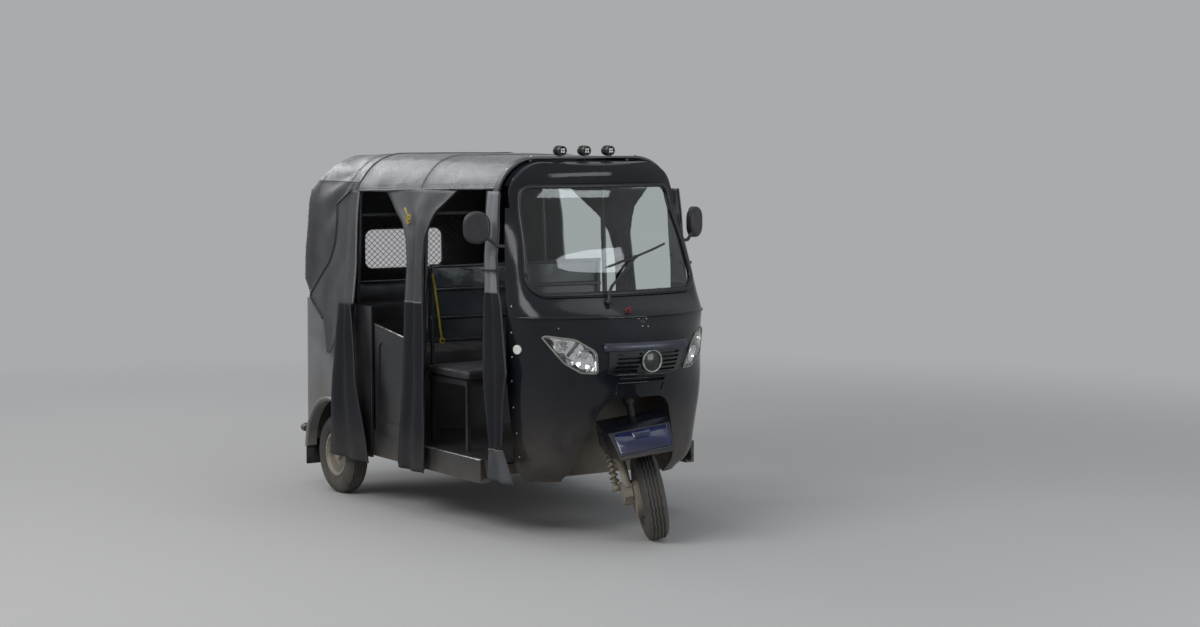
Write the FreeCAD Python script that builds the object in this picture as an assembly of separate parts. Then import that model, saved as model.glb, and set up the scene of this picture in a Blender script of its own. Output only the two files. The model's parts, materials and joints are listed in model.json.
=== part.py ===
"""Three-wheeled auto rickshaw with a sheet-metal front cowl, a soft canopy on a tube frame and a rear engine.

Units are millimetres. X points forward, Y to the vehicle's left and Z up. The origin is on the ground under
the centre of the overall box. The front wheel is parked turned to the right, as it stands at the kerb.
"""

import FreeCAD, Part
import functools
import math
import os

V = FreeCAD.Vector
Y_AXIS, Z_AXIS = V(0, 1, 0), V(0, 0, 1)

# Overall size and running gear
length = 2647.0
width = 1329.0
wheelbase = 1970.0
track = 1150.0
front_axle_x = 1070.0
rear_axle_x = front_axle_x - wheelbase

# Small gap left between pieces that rest on each other, and the play of a running pin
seat_gap = 0.3
pin_play = 0.08

# Wheels, a 4.00-8 tyre with its weight on
tyre_radius = 200.0
tyre_half_width = 54.0
bead_radius = 106.0
rim_half_width = 44.0
rim_sheet = 4.0
axle_radius = 12.0
groove_depth = 5.0
groove_half_width = 3.0
groove_offsets = (-24.0, -8.0, 8.0, 24.0)
hub_radius = 34.0
drum_radius = 86.0

# Steering
caster_angle = 22.0
steering_trail = 60.0
parked_steer = 28.0
column_radius = 17.0
crown_z = 530.0
crown_rise = 14.0
handlebar_z = 1045.0
handlebar_half = 270.0
handlebar_sweep = 170.0
grip_radius = 11.0
fork_y = -96.0
damper_y = -136.0
damper_radius = 20.0
mudguard_sheet = 6.0
# Mudguard side outline: ahead of the hub, under its top. Its plan: ahead of the hub, from the middle
mudguard_side = ((-206, 114), (-206, 18), (-188, 0), (30, 0), (100, 12), (206, 106), (212, 117), (198, 124))
mudguard_plan = ((-206, -166), (20, -166), (212, -123), (212, 123), (20, 140), (-206, 140))

# Body sheet and floor
skin = 12.0
floor_top = 345.0
floor_sheet = 12.0
sill_bottom = 240.0
sill_width = 46.0
body_half = 600.0
rear_face_x = -1296.0
seat_front_x = -500.0
seat_board_z = 652.0
belt_z = 985.0
split_z = 1010.0
arch_radius = 262.0
arch_lip = 24.0
arch_lip_half = width / 2 - 14
arch_z = 215.0

# Cowl plan sections: height, nose x, corner x and y, door edge x and y
cowl_sections = (
    (246, 790, 745, 300, 640, 415),
    (300, 862, 790, 345, 655, 462),
    (440, 925, 815, 395, 665, 492),
    (600, 962, 828, 420, 669, 512),
    (730, 1004, 836, 432, 669, 522),
    (830, 1060, 838, 438, 669, 525),
    (930, 1045, 838, 438, 669, 525),
    (split_z, 984, 838, 433, 669, 525),
)
screen_sections = (
    (split_z, 984, 838, 433, 669, 525),
    (1092, 866, 778, 433, 660, 520),
    (1340, 764, 684, 424, 615, 498),
    (1590, 656, 600, 392, 566, 470),
    (1650, 668, 604, 384, 552, 468),
    (1740, 622, 560, 360, 530, 466),
)
# Arches that round off the cap over the windscreen: x, half width, top height, shoulder radius
cap_arches = (
    (430, 460, 1713, 186),
    (560, 458, 1710, 184),
    (640, 444, 1696, 180),
    (700, 400, 1652, 170),
)
cap_start_z = 1500.0
cap_tongue_z = 1600.0
cap_back_x = 480.0
seal_corner_radius = 66.0
glass_half_bottom = 455.0
glass_half_top = 398.0
glass_bottom_z = 1118.0
glass_top_z = 1586.0
seal_width = 20.0
# Right half of the front wheel's opening: distance from the middle, height, corner radius
wheel_opening_outline = ((302, 150, 10), (260, 400, 120), (166, 640, 100))
housing_half = 300.0
housing_low = 250.0

# Right headlamp outline seen from the front: distance from the middle, height, corner radius
lamp_outline = ((446, 934, 10), (330, 916, 60), (256, 862, 40),
                (232, 762, 10), (300, 766, 40), (372, 812, 80))
# Half of the grille outline: distance from the middle, height
grille_outline = ((232, 898), (206, 862), (190, 760), (140, 746))
grille_slots_z = (850, 830, 810, 790, 770)
badge_radius = 48.0
badge_z = 815.0

# Canopy arches: x, half width at the belt, half width at the top, top height, shoulder radius
canopy_front_x = 520.0
canopy_rear_x = -1294.0
canopy_split_x = -735.0
canopy_sheet = 5.0
canopy_arches = (
    (canopy_front_x, 500, 468, 1723, 200),
    (-535, 602, 553, 1739, 240),
    (canopy_rear_x - 6, 604, 550, 1732, 250),
)
canopy_corner_radius = 110.0
canopy_edge_radius = 100.0
hem_front_z = 1590.0
hem_rear_z = 1555.0
clamp_x0 = 486.0
clamp_x1 = 526.0
clamp_low = 1575.0
# Right curtains. First row: x, half width, highest top.
# Other rows: x, half width, distance from the middle, height
curtain_shapes = (
    ((500, 50, clamp_low), (545, 52, 556, 1220), (604, 70, 582, 1000), (690, 100, 600, 262)),
    ((45, 335, 2000), (-5, 180, 562, 1480), (-23, 90, 588, 1360), (-35, 92, 620, 1000),
     (-50, 115, 634, 228)),
    ((-666, 66, 2000), (-700, 85, 640, 1000), (-700, 130, width / 2, 530), (-680, 230, width / 2, 215)),
)
curtain_sheet = 12.0

# Tubes
tube_radius = 12.5
# Hoops that carry the canopy: x, distance of the foot from the middle, height of the foot
pillars = ((-110.0, 540.0, floor_top), (-745.0, 574.0, seat_board_z))
roof_rail_radius = 9.0
roof_rail_front = 468.0
roof_rail_rear = -1150.0

# Engine
engine_half = 158.0
engine_rear_x = -1130.0

# Exhaust outlet: start on the silencer's middle line, end, radius, and how far its collar reaches
outlet_start = (-1222.0, -400.0, 222.0)
outlet_end = (-1290.0, -400.0, 208.0)
outlet_radius = 14.0
outlet_collar = 40.0

# Engine hatch in the rear panel
hatch_half = 330.0
hatch_low = 400.0
hatch_high = 800.0
hatch_gap = 6.0
hinge_x = rear_face_x - 8.0
hinge_z = hatch_high + 6.0
hinge_pin_radius = 4.0
hinge_y = (-230.0, 230.0)

# Wire screen in front of the rear window
mesh_x = -1215.0
mesh_half = 500.0
mesh_low = 1000.0
mesh_high = 1420.0
mesh_border = 16.0
mesh_sheet = 3.0
wire_half = 1.6
wire_pitch = 60.0


def vec(x, y, z):
    return V(float(x), float(y), float(z))


def box(x0, x1, y0, y1, z0, z1):
    return Part.makeBox(x1 - x0, y1 - y0, z1 - z0, vec(x0, y0, z0))


def cylinder(start, end, radius):
    start, end = vec(*start), vec(*end)
    return Part.makeCylinder(radius, (end - start).Length, start, end - start)


def mirrored(shape):
    return shape.mirror(V(0, 0, 0), Y_AXIS)


def pair(shape):
    return [shape, mirrored(shape)]


def fuse(shapes):
    return shapes[0].multiFuse(shapes[1:]).removeSplitter() if len(shapes) > 1 else shapes[0]


def prism(points, direction):
    face = Part.Face(Part.makePolygon([vec(*p) for p in points] + [vec(*points[0])]))
    return face.extrude(vec(*direction))


def corner(before, point, after, radius):
    """Start, middle and end of the arc that rounds one corner."""
    u, w = (before - point).normalize(), (after - point).normalize()
    half = math.acos(max(-1.0, min(1.0, u.dot(w)))) / 2
    reach = radius / math.tan(half)
    bisector = (u + w).normalize()
    return point + u * reach, point + bisector * (radius / math.sin(half) - radius), point + w * reach


def rounded(points, radii):
    """Closed wire through points in one plane, each corner rounded by its radius."""
    n = len(points)
    pts = [vec(*p) for p in points]
    arcs = [corner(pts[i - 1], pts[i], pts[(i + 1) % n], radii[i]) for i in range(n)]
    edges = []
    for i in range(n):
        edges.append(Part.Arc(*arcs[i]).toShape())
        edges.append(Part.LineSegment(arcs[i][2], arcs[(i + 1) % n][0]).toShape())
    return Part.Wire(edges)


def bent_tube(points, radius, bend):
    """Round tube along straight runs with one bend radius at each corner."""
    pts = [vec(*p) for p in points]
    edges = []
    start = pts[0]
    for i in range(1, len(pts) - 1):
        arc = corner(pts[i - 1], pts[i], pts[i + 1], bend)
        edges.append(Part.LineSegment(start, arc[0]).toShape())
        edges.append(Part.Arc(*arc).toShape())
        start = arc[2]
    edges.append(Part.LineSegment(start, pts[-1]).toShape())
    section = Part.Wire(Part.makeCircle(radius, pts[0], pts[1] - pts[0]))
    return Part.Wire(edges).makePipeShell([section], True, False)


def revolved(profile, centre, axis):
    """Solid of revolution about an axis through centre. Profile points are (along the axis, radius)."""
    points = [V(r, 0, a) for a, r in profile]
    face = Part.Face(Part.makePolygon(points + [points[0]]))
    solid = face.revolve(V(0, 0, 0), Z_AXIS, 360)
    solid.Placement = FreeCAD.Placement(vec(*centre), FreeCAD.Rotation(Z_AXIS, vec(*axis)))
    return solid


# Front bodywork

def cowl_wire(row, inset, back):
    """Plan outline at one height: a nose arc, two side arcs tangent to it, and a straight back."""
    z, nose, corner_x, corner_y, door_x, door_y = row
    rise = nose - corner_x
    radius = (corner_y ** 2 + rise ** 2) / (2 * rise)
    angle = math.asin(corner_y / radius)
    nose_r = radius - inset
    edge = vec(nose - radius + nose_r * math.cos(angle), nose_r * math.sin(angle), z)
    door = vec(door_x - back, door_y - inset, z)
    chord = door - edge
    normal = vec(-math.cos(angle), -math.sin(angle), 0)
    side_r = chord.dot(chord) / (2 * chord.dot(normal))
    side_centre = edge + normal * side_r
    side_mid = side_centre + ((edge + door) * 0.5 - side_centre).normalize() * abs(side_r)

    def flipped(p):
        return vec(p.x, -p.y, p.z)

    return Part.Wire([
        Part.Arc(flipped(door), flipped(side_mid), flipped(edge)).toShape(),
        Part.Arc(flipped(edge), vec(nose - inset, 0, z), edge).toShape(),
        Part.Arc(edge, side_mid, door).toShape(),
        Part.LineSegment(door, flipped(door)).toShape(),
    ])


def run_on(sections, reach=40):
    """The sections continued past both ends, so that a wall and its inside share one curve."""
    low = (sections[0][0] - reach,) + tuple(sections[0][1:])
    high = (sections[-1][0] + reach,) + tuple(sections[-1][1:])
    return (low,) + tuple(sections) + (high,)


@functools.lru_cache(maxsize=None)
def cowl_solid(inset=0.0, back=0.0):
    return Part.makeLoft([cowl_wire(row, inset, back) for row in run_on(cowl_sections)], True)


def arch_wire(x, half, top, radius, foot=900):
    points = ((x, -half, foot), (x, half, foot), (x, half, top), (x, -half, top))
    return rounded(points, (20, 20, radius, radius))


@functools.lru_cache(maxsize=None)
def screen_solid(inset=0.0, back=0.0):
    """Windscreen surround and cap: the plan loft, rounded off above by the arches."""
    loft = Part.makeLoft([cowl_wire(row, inset, back) for row in run_on(screen_sections)], True)
    rows = [(x - inset - (back if i == 0 else 0), half - inset, top - inset, radius - inset)
            for i, (x, half, top, radius) in enumerate(cap_arches)]
    tunnel = Part.makeLoft([arch_wire(*row) for row in rows], True)
    lower = loft.common(box(-200, 1400, -900, 900, 900, cap_start_z))
    upper = loft.common(box(-200, 1400, -900, 900, cap_start_z, 1900)).common(tunnel)
    tongue = tunnel.common(box(cap_back_x - back, 556, -900, 900, cap_tongue_z - inset, 1900))
    return lower.multiFuse([upper, tongue]).removeSplitter()


def glass_prism(grow):
    """Windscreen outline, seen from the front, as a prism along X."""
    x, low, high = 300.0, glass_bottom_z - grow, glass_top_z + grow
    points = ((x, -glass_half_bottom - grow, low), (x, glass_half_bottom + grow, low),
              (x, glass_half_top + grow, high), (x, -glass_half_top - grow, high))
    r = seal_corner_radius + grow
    return Part.Face(rounded(points, (r, r, r * 0.7, r * 0.7))).extrude(vec(900, 0, 0))


def lamp_prism(grow):
    cy = sum(p[0] for p in lamp_outline) / len(lamp_outline)
    cz = sum(p[1] for p in lamp_outline) / len(lamp_outline)
    points = []
    for y, z, _ in lamp_outline:
        reach = math.hypot(y - cy, z - cz)
        k = (reach + grow) / reach
        points.append((600, -(cy + (y - cy) * k), cz + (z - cz) * k))
    return Part.Face(rounded(points, [p[2] for p in lamp_outline])).extrude(vec(600, 0, 0))


def grille_prism(grow):
    half = [(y + grow, z + (grow if z > badge_z else -grow)) for y, z in grille_outline]
    points = [(700, y, z) for y, z in half] + [(700, -y, z) for y, z in reversed(half)]
    return prism(points, (500, 0, 0))


def wheel_opening():
    """Opening for the front wheel in the lower cowl, seen from the front."""
    corners = [(y, z, r) for y, z, r in wheel_opening_outline]
    corners += [(-y, z, r) for y, z, r in reversed(wheel_opening_outline)]
    outline = rounded([(560, y, z) for y, z, _ in corners], [r for _, _, r in corners])
    return Part.Face(outline).extrude(vec(700, 0, 0))


def front_cowl():
    shell = cowl_solid().cut(cowl_solid(skin, 60))
    shell = shell.common(box(0, 1400, -900, 900, cowl_sections[0][0], split_z))
    for opening in (wheel_opening(), lamp_prism(3), mirrored(lamp_prism(3)), grille_prism(0)):
        shell = shell.cut(opening)
    return shell.cut(box(800, 1200, -125, 125, 716, 728).cut(cowl_solid(8)))


def windscreen_frame():
    shell = screen_solid().cut(screen_solid(skin, 60)).common(box(0, 1400, -900, 900, split_z, 1900))
    return shell.cut(glass_prism(seal_width))


def windscreen_glass():
    return screen_solid(2).cut(screen_solid(7, 60)).common(glass_prism(-seat_gap))


def windscreen_seal():
    ring = glass_prism(seal_width - seat_gap).cut(glass_prism(0))
    return screen_solid(-7).cut(screen_solid(skin + 5, 60)).common(ring)


def headlamp_lens():
    return cowl_solid(-3).cut(cowl_solid(2, 60)).common(lamp_prism(2.5))


def headlamp_housing():
    bowl = cowl_solid(2 + seat_gap).cut(cowl_solid(46, 60)).common(lamp_prism(2.5))
    hollow = cowl_solid(0).cut(cowl_solid(40, 60)).common(lamp_prism(-5))
    return bowl.cut(hollow)


def grille():
    plate = cowl_solid(-8).cut(cowl_solid(skin, 60)).common(grille_prism(-seat_gap))
    for z in grille_slots_z:
        for y0, y1 in ((-165, -badge_radius - 6), (badge_radius + 6, 165)):
            plate = plate.cut(box(800, 1200, y0, y1, z - 5, z + 5).cut(cowl_solid(3)))
    nose = cowl_sections[5][1]
    badge = cylinder((nose - 20, 0, badge_z), (nose + 14, 0, badge_z), badge_radius)
    return plate.fuse(badge).removeSplitter()


def front_wheel_housing():
    """Inner arch that closes the cabin off from the front wheel."""
    half, top = housing_half, wheel_opening_outline[-1][1] + 15 + skin
    outer = box(640, 1010, -half, half, housing_low, top)
    inner = box(640 + skin, 1100, -half + skin, half - skin, 200, top - skin)
    low, high = on_axis(500), on_axis(900)
    passage = Part.makeCylinder(column_radius + 9 + seat_gap, (high - low).Length, low, steering_axis()[1])
    return outer.cut(inner).common(cowl_solid(skin + 1, 60)).cut(passage)


def side_marker():
    """Round lamp set flat on the cowl's right side."""
    return cylinder((722, -485, 866), (762, -555, 866), 21).common(cowl_solid(-9)).cut(cowl_solid(-seat_gap))


# Floor, chassis and rear body

def tower(grow=0.0):
    return box(585 - grow, 639 + grow, -60 - grow, 60 + grow, 262, 905)


def floor_pan():
    inner_half = body_half - sill_width
    deck = box(seat_front_x, 560, -inner_half, inner_half, floor_top - floor_sheet, floor_top)
    sill = box(seat_front_x, 560, -body_half, -inner_half, sill_bottom, floor_top)
    outline = ((560, -inner_half), (560, inner_half), (638, 400), (638, -400))
    toe = prism([(x, y, floor_top) for x, y in outline], (0, 0, -floor_sheet))
    return fuse([deck, toe, *pair(sill)]).cut(tower(seat_gap))


def chassis_frame():
    deck = floor_top - floor_sheet - seat_gap
    rails = [box(-1180, 639, y - 25, y + 25, 262, deck) for y in (-300, 300)]
    inner_half = body_half - sill_width - seat_gap
    crosses = [box(x - 25, x + 25, -inner_half, inner_half, 270, 320) for x in (-480, -110, 540)]
    ends = [box(-1200, -1150, -500, 500, 262, 332), box(585, 639, -300, 300, 262, 320)]
    engine_side = engine_half + seat_gap
    bearers = [box(-1000, -950, y0, y1, 262, 330) for y0, y1 in ((-300, -engine_side), (engine_side, 300))]
    frame = fuse(rails + crosses + ends + bearers + [tower()])
    low, high = on_axis(600), on_axis(900)
    up = steering_axis()[1]
    head = Part.makeCylinder(column_radius + 9, (high - low).Length, low, up)
    bore = Part.makeCylinder(column_radius + pin_play, (high - low).Length, low, up)
    return fuse([frame, head, box(630, 790, -22, 22, 790, 840)]).cut(bore)


def steering_axis():
    """A point on the steering axis at ground level, and its upward direction."""
    tilt = math.radians(caster_angle)
    return vec(front_axle_x + steering_trail, 0, 0), vec(-math.sin(tilt), 0, math.cos(tilt))


def on_axis(z):
    point, up = steering_axis()
    return point + up * (z / up.z)


@functools.lru_cache(maxsize=None)
def rear_block(inset):
    wires = []
    for z, x, half, r in ((200, rear_face_x + 14, 618, 70), (belt_z + 30, rear_face_x, 609, 80)):
        x, half = x + inset, half - inset
        points = ((x, -half, z), (seat_front_x, -half, z), (seat_front_x, half, z), (x, half, z))
        wires.append(rounded(points, (r, 5, 5, r)))
    return Part.makeLoft(wires, True)


def rear_side_right():
    """Pressed rear quarter: flat side, flared wheel arch and rounded rear corner."""
    shell = rear_block(0).cut(rear_block(skin)).common(box(-1400, seat_front_x - 1, -800, -440, 232, belt_z))
    arch = cylinder((rear_axle_x, -700, arch_z), (rear_axle_x, -440, arch_z), arch_radius)
    arch = arch.fuse(box(rear_axle_x - arch_radius, rear_axle_x + arch_radius, -700, -440, 100, arch_z))
    rim = ((rear_axle_x, -arch_lip_half, arch_z), (rear_axle_x, -600, arch_z))
    lip = cylinder(*rim, arch_radius + arch_lip)
    lip = lip.cut(arch)
    lip = lip.common(box(-1400, 0, -700, -500, arch_z, 600))
    return shell.cut(arch).fuse(lip).removeSplitter()


def rear_panel():
    half = 440 - seat_gap
    shell = rear_block(0).cut(rear_block(skin)).common(box(-1400, -1200, -half, half, 330, belt_z))
    solids = [shell.cut(box(-1400, -1200, -hatch_half, hatch_half, hatch_low, hatch_high))]
    for y in hinge_y:
        for y0 in (y - 35, y + 35):
            solids.append(box(hinge_x - 6, rear_face_x + 8, y0 - 5, y0 + 5, hinge_z - 6, hinge_z + 6))
        solids.append(cylinder((hinge_x, y - 35, hinge_z), (hinge_x, y + 35, hinge_z), hinge_pin_radius))
    return fuse(solids)


def engine_hatch():
    half = hatch_half - hatch_gap
    window = box(-1400, -1200, -half, half, hatch_low + hatch_gap, hatch_high - hatch_gap)
    plate = rear_block(0).cut(rear_block(skin)).common(window)
    for z in (480, 520, 560, 600, 640):
        plate = plate.cut(box(-1400, -1200, -220, 220, z, z + 12))
    solids = [plate, box(rear_face_x - 16, rear_face_x + 18, -60, 60, 440, 458)]
    for y in hinge_y:
        solids.append(cylinder((hinge_x, y - 28, hinge_z), (hinge_x, y + 28, hinge_z), 8))
        solids.append(box(hinge_x - 4, hinge_x + 4, y - 28, y + 28, hatch_high - 30, hinge_z))
        top = hatch_high - hatch_gap - 1
        solids.append(box(hinge_x - 4, rear_face_x + 12, y - 28, y + 28, hatch_high - 30, top))
    hatch = fuse(solids)
    for y in hinge_y:
        bore = cylinder((hinge_x, y - 30, hinge_z), (hinge_x, y + 30, hinge_z), hinge_pin_radius + pin_play)
        hatch = hatch.cut(bore)
    return hatch


def rear_lamp():
    """Right rear lamp on the body's back corner."""
    lamp = box(rear_face_x - 26, rear_face_x + 30, -520, -455, 790, 930)
    lamp = lamp.makeFillet(12, [e for e in lamp.Edges if e.BoundBox.XMax < rear_face_x - 25])
    return lamp.cut(rear_block(-seat_gap))


def seat_base():
    front = box(seat_front_x, seat_front_x + skin, -586, 586, floor_top + seat_gap, seat_board_z)
    board = box(-1260, seat_front_x + skin, -586, 586, seat_board_z - skin, seat_board_z)
    return fuse([front, board.common(rear_block(skin + seat_gap).fuse(front))])


# Wheels and running gear

def tyre_profile():
    bead = rim_half_width - rim_sheet - seat_gap
    half = [(bead, bead_radius), (bead, bead_radius + 10), (tyre_half_width, 150),
            (tyre_half_width - 2, 166), (tyre_half_width - 8, 184), (34, 196)]
    tread = []
    for offset in reversed(groove_offsets):
        floor = tyre_radius - groove_depth
        tread += [(offset + groove_half_width, tyre_radius), (offset + groove_half_width - 1, floor),
                  (offset - groove_half_width + 1, floor), (offset - groove_half_width, tyre_radius)]
    return half + tread + [(-a, r) for a, r in reversed(half)]


def wheel_drop():
    """How far the turned front wheel's lowest point lies under its hub."""
    lean = spin_axis().z
    return max(abs(a * lean) + r * math.sqrt(1 - lean ** 2) for a, r in tyre_profile())


def tyre(centre):
    return revolved(tyre_profile(), centre, (0, 1, 0))


def rim(centre, hub_reach):
    """Pressed-steel rim with its disc and hub. hub_reach is the hub's outer end on the Y side it faces."""
    face = math.copysign(1, hub_reach)
    w, r = rim_half_width, bead_radius - seat_gap
    profile = [(-w, r + 9), (-w, r - 4), (-w + 12, r - 10), (w - 12, r - 10), (w, r - 4), (w, r + 9),
               (w - rim_sheet, r + 9), (w - rim_sheet, r), (-w + rim_sheet, r), (-w + rim_sheet, r + 9)]
    barrel = revolved(profile, centre, (0, 1, 0))
    dish = [(8 * face, r - 8), (20 * face, 60), (20 * face, 0), (12 * face, 0), (12 * face, 56), (0, r - 8)]
    boss = [(14 * face, hub_radius), (hub_reach, hub_radius - 6), (hub_reach, 0), (14 * face, 0)]
    wheel = fuse([barrel, revolved(dish, centre, (0, 1, 0)), revolved(boss, centre, (0, 1, 0))])
    x, y, z = centre
    bore_ends = (x, y - 15 * face, z), (x, y + hub_reach - 6 * face, z)
    wheel = wheel.cut(cylinder(*bore_ends, axle_radius + pin_play))
    for i in range(4):
        a = math.radians(45 + 90 * i)
        px, pz = x + 74 * math.cos(a), z + 74 * math.sin(a)
        wheel = wheel.cut(cylinder((px, y - 40, pz), (px, y + 40, pz), 11))
    return wheel


def trailing_arm():
    """Right rear arm: a box arm from its pivot on the cross member to the drum behind the wheel."""
    y = -track / 2 + 78
    x = -505 - 30 - seat_gap
    arm = prism(((x, y, 310), (x, y, 255), (rear_axle_x, y, 168), (rear_axle_x, y, 232)), (0, 50, 0))
    drum = cylinder((rear_axle_x, y - 66, tyre_radius), (rear_axle_x, y + 18, tyre_radius), drum_radius)
    tip = (rear_axle_x, -track / 2 - 27, tyre_radius)
    axle = cylinder((rear_axle_x, y - 60, tyre_radius), tip, axle_radius)
    pivot = cylinder((x, y - 20, 290), (x, y + 80, 290), 30)
    return fuse([arm, drum, axle, pivot])


def rear_damper():
    """Right rear spring over damper, standing on the arm."""
    y = -track / 2 + 103
    foot, head = (rear_axle_x + 70, y, 238), (rear_axle_x + 40, y, seat_board_z - skin - 1)
    rings = []
    run = vec(*head) - vec(*foot)
    for i in range(9):
        low, high = vec(*foot) + run * ((i + 1.0) / 13), vec(*foot) + run * ((i + 1.45) / 13)
        rings.append(cylinder(low, high, 36))
    return fuse([cylinder(foot, head, 15), *rings])


def drive_shaft():
    y = -track / 2 + 97
    return fuse([cylinder((rear_axle_x, y, tyre_radius), (rear_axle_x, -163, 236), 14),
                 cylinder((rear_axle_x, -215, 230), (rear_axle_x, -163, 236), 32)])


def engine_block():
    return box(engine_rear_x, -760, -engine_half, engine_half, 205, 520)


def silencer():
    start, end = vec(*outlet_start), vec(*outlet_end)
    can = cylinder((start.x, -430, start.z), (start.x, -190, start.z), 36)
    pipe = cylinder(start, end, outlet_radius)
    collar = cylinder(start, start + (end - start).normalize() * outlet_collar, outlet_radius + 5)
    mouth = (engine_rear_x - seat_gap, -120, start.z)
    inlet = bent_tube((mouth, (start.x, -120, start.z), (start.x, -195, start.z)), 14, 24)
    hanger = box(-1215, -1165, -330, -300, 225, 262 - seat_gap)
    return fuse([can, pipe, collar, inlet, hanger])


def rear_bumper():
    x = -length / 2 + 17.5
    tube = bent_tube(((-1200, -637, 300), (x, -637, 300), (x, 637, 300), (-1200, 637, 300)), 17.5, 90)
    stay = box(x - 6, -1200 - seat_gap, -270, -230, 290, 310)
    return fuse([tube, *pair(stay)])


# Cabin

def cushion(x0, x1, half, z0, z1, r):
    block = box(x0, x1, -half, half, z0, z1)
    return block.makeFillet(r, block.Edges)


def driver_seat_frame():
    ring = [box(-95, 285, y - 12, y + 12, 655, 679) for y in (-500, 500)]
    ring += [box(x - 12, x + 12, -512, 512, 655, 679) for x in (-83, 273)]
    feet = [(x, y) for x in (-70, 273) for y in (-500, 500)]
    legs = [box(x - 9, x + 9, y - 9, y + 9, floor_top + seat_gap, 655) for x, y in feet]
    return fuse(ring + legs)


def partition_bars():
    """Bars behind the driver that carry the backrest, on two posts."""
    x = pillars[0][0]
    posts = [cylinder((x, y, floor_top + seat_gap), (x, y, 1210), 10) for y in (-478, 478)]
    bars = [cylinder((x, -490, z), (x, 490, z), 10) for z in (1200, 1088, 950, 838)]
    return fuse(posts + bars)


def side_guard():
    """Fixed panel on the right of the passenger space, with a pressed rounded recess."""
    y = -body_half
    foot = floor_top + seat_gap
    outline = ((-484, y, foot), (-130, y, foot), (-130, y, 850), (-484, y, 900))
    panel = Part.Face(rounded(outline, (5, 5, 40, 5))).extrude(vec(0, 12, 0))
    recess = ((-440, y, 420), (-175, y, 420), (-175, y, 785), (-440, y, 820))
    return panel.cut(Part.Face(rounded(recess, (40, 40, 40, 40))).extrude(vec(0, 5, 0)))


def dashboard():
    shelf = box(690, 1000, -500, 500, 985, 1000).common(cowl_solid(skin + 1, 60))
    shelf = shelf.cut(box(680, 790, -40, 40, 900, 1100))
    binnacle = box(775, 850, -130, 130, 995, 1062)
    return shelf.fuse(binnacle.makeFillet(18, binnacle.Edges)).removeSplitter()


def screen_frame():
    """Flat frame on two legs, in front of the rear window."""
    x, half, z0, z1, edge = mesh_x, mesh_half, mesh_low, mesh_high, mesh_border
    window = box(x - 20, x + 20, -half + edge, half - edge, z0 + edge, z1 - edge)
    foot = seat_board_z + seat_gap
    legs = [box(x - 6, x + 6, y - 10, y + 10, foot, z0 + 8) for y in (-half + 30, half - 30)]
    return fuse([box(x - 6, x + 6, -half, half, z0, z1).cut(window), *legs])


def wire_screen():
    """Diamond mesh that fills its frame, with the wires in one plane."""
    x = mesh_x - mesh_sheet / 2
    half = mesh_half - mesh_border - seat_gap
    low, high = mesh_low + mesh_border + seat_gap, mesh_high - mesh_border - seat_gap
    step = wire_pitch / 2
    reach = step - wire_half * math.sqrt(2)
    holes = []
    for row in range(int((high - low) / step) + 1):
        for column in range(-int(half / step), int(half / step) + 1):
            if (row + column) % 2:
                continue
            y, z = column * step, low + row * step
            points = [vec(x, y - reach, z), vec(x, y, z - reach), vec(x, y + reach, z), vec(x, y, z + reach)]
            holes.append(Part.Face(Part.makePolygon(points + points[:1])))
    edge = 2 * wire_half
    window = rectangle(x, half - edge, low + edge, high - edge)
    sheet = rectangle(x, half, low, high).cut(Part.makeCompound(holes).common(window))
    return sheet.extrude(vec(mesh_sheet, 0, 0))


def rectangle(x, half, low, high):
    points = [vec(x, -half, low), vec(x, half, low), vec(x, half, high), vec(x, -half, high)]
    return Part.Face(Part.makePolygon(points + points[:1]))


# Canopy

def canopy_arch(x):
    """Belt half width, top half width, top height and shoulder radius at one place along the vehicle."""
    for low, high in zip(canopy_arches[1:], canopy_arches):
        if x >= low[0]:
            break
    share = (x - low[0]) / (high[0] - low[0])
    return tuple(low[k] + (high[k] - low[k]) * share for k in (1, 2, 3, 4))


def canopy_half(x, z):
    """Half width of the straight side at one place and height."""
    belt, top, height, _ = canopy_arch(x)
    return belt + (top - belt) * (z - belt_z) / (height - belt_z)


def hem_height(x):
    return hem_rear_z + (hem_front_z - hem_rear_z) * (x - canopy_split_x) / (canopy_front_x - canopy_split_x)


@functools.lru_cache(maxsize=None)
def canopy_solid(inset=0.0):
    """Arches run along the vehicle, with the rear corners and the rear top edge rounded off."""
    low_z = belt_z - 60 - inset
    arches = []
    for x, belt, top, height, radius in canopy_arches:
        foot = belt + (belt - top) * (belt_z - low_z) / (height - belt_z)
        foot, top, height, radius = foot - inset, top - inset, height - inset, radius - inset
        x += inset * 4 if x > 0 else 0
        points = ((x, -foot, low_z), (x, foot, low_z), (x, top, height), (x, -top, height))
        arches.append(rounded(points, (5, 5, radius, radius)))
    tunnel = Part.makeLoft(arches, True, True)
    front, rear = 700, canopy_rear_x + inset
    height = canopy_arches[-1][3] + 9 - inset
    under = low_z - 30
    side = rounded(((front, -900, under), (front, -900, height), (rear, -900, height), (rear, -900, under)),
                   (5, 5, canopy_edge_radius - inset, 5))
    profile = Part.Face(side).extrude(vec(0, 1800, 0))
    plans = []
    _, belt, top, height, _ = canopy_arches[-1]
    for z in (under, 1800):
        half = belt + (top - belt) * (z - belt_z) / (height - belt_z) + 0.5 - inset
        r = canopy_corner_radius - inset
        points = ((front, -half, z), (front, half, z), (rear, half, z), (rear, -half, z))
        plans.append(rounded(points, (5, 5, r, r)))
    return tunnel.common(profile).common(Part.makeLoft(plans, True, True))


def hem_cutter():
    """What lies under the roof's hem, ahead of the rear part."""
    x0, x1 = canopy_split_x, 900
    side = ((x0, -900, 800), (x1, -900, 800), (x1, -900, hem_height(x1)), (x0, -900, hem_height(x0)))
    return prism(side, (0, 1800, 0))


def canopy_shell():
    shell = canopy_solid().cut(canopy_solid(canopy_sheet))
    return shell.cut(box(-1500, 900, -900, 900, 800, belt_z + seat_gap)).cut(hem_cutter())


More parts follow.
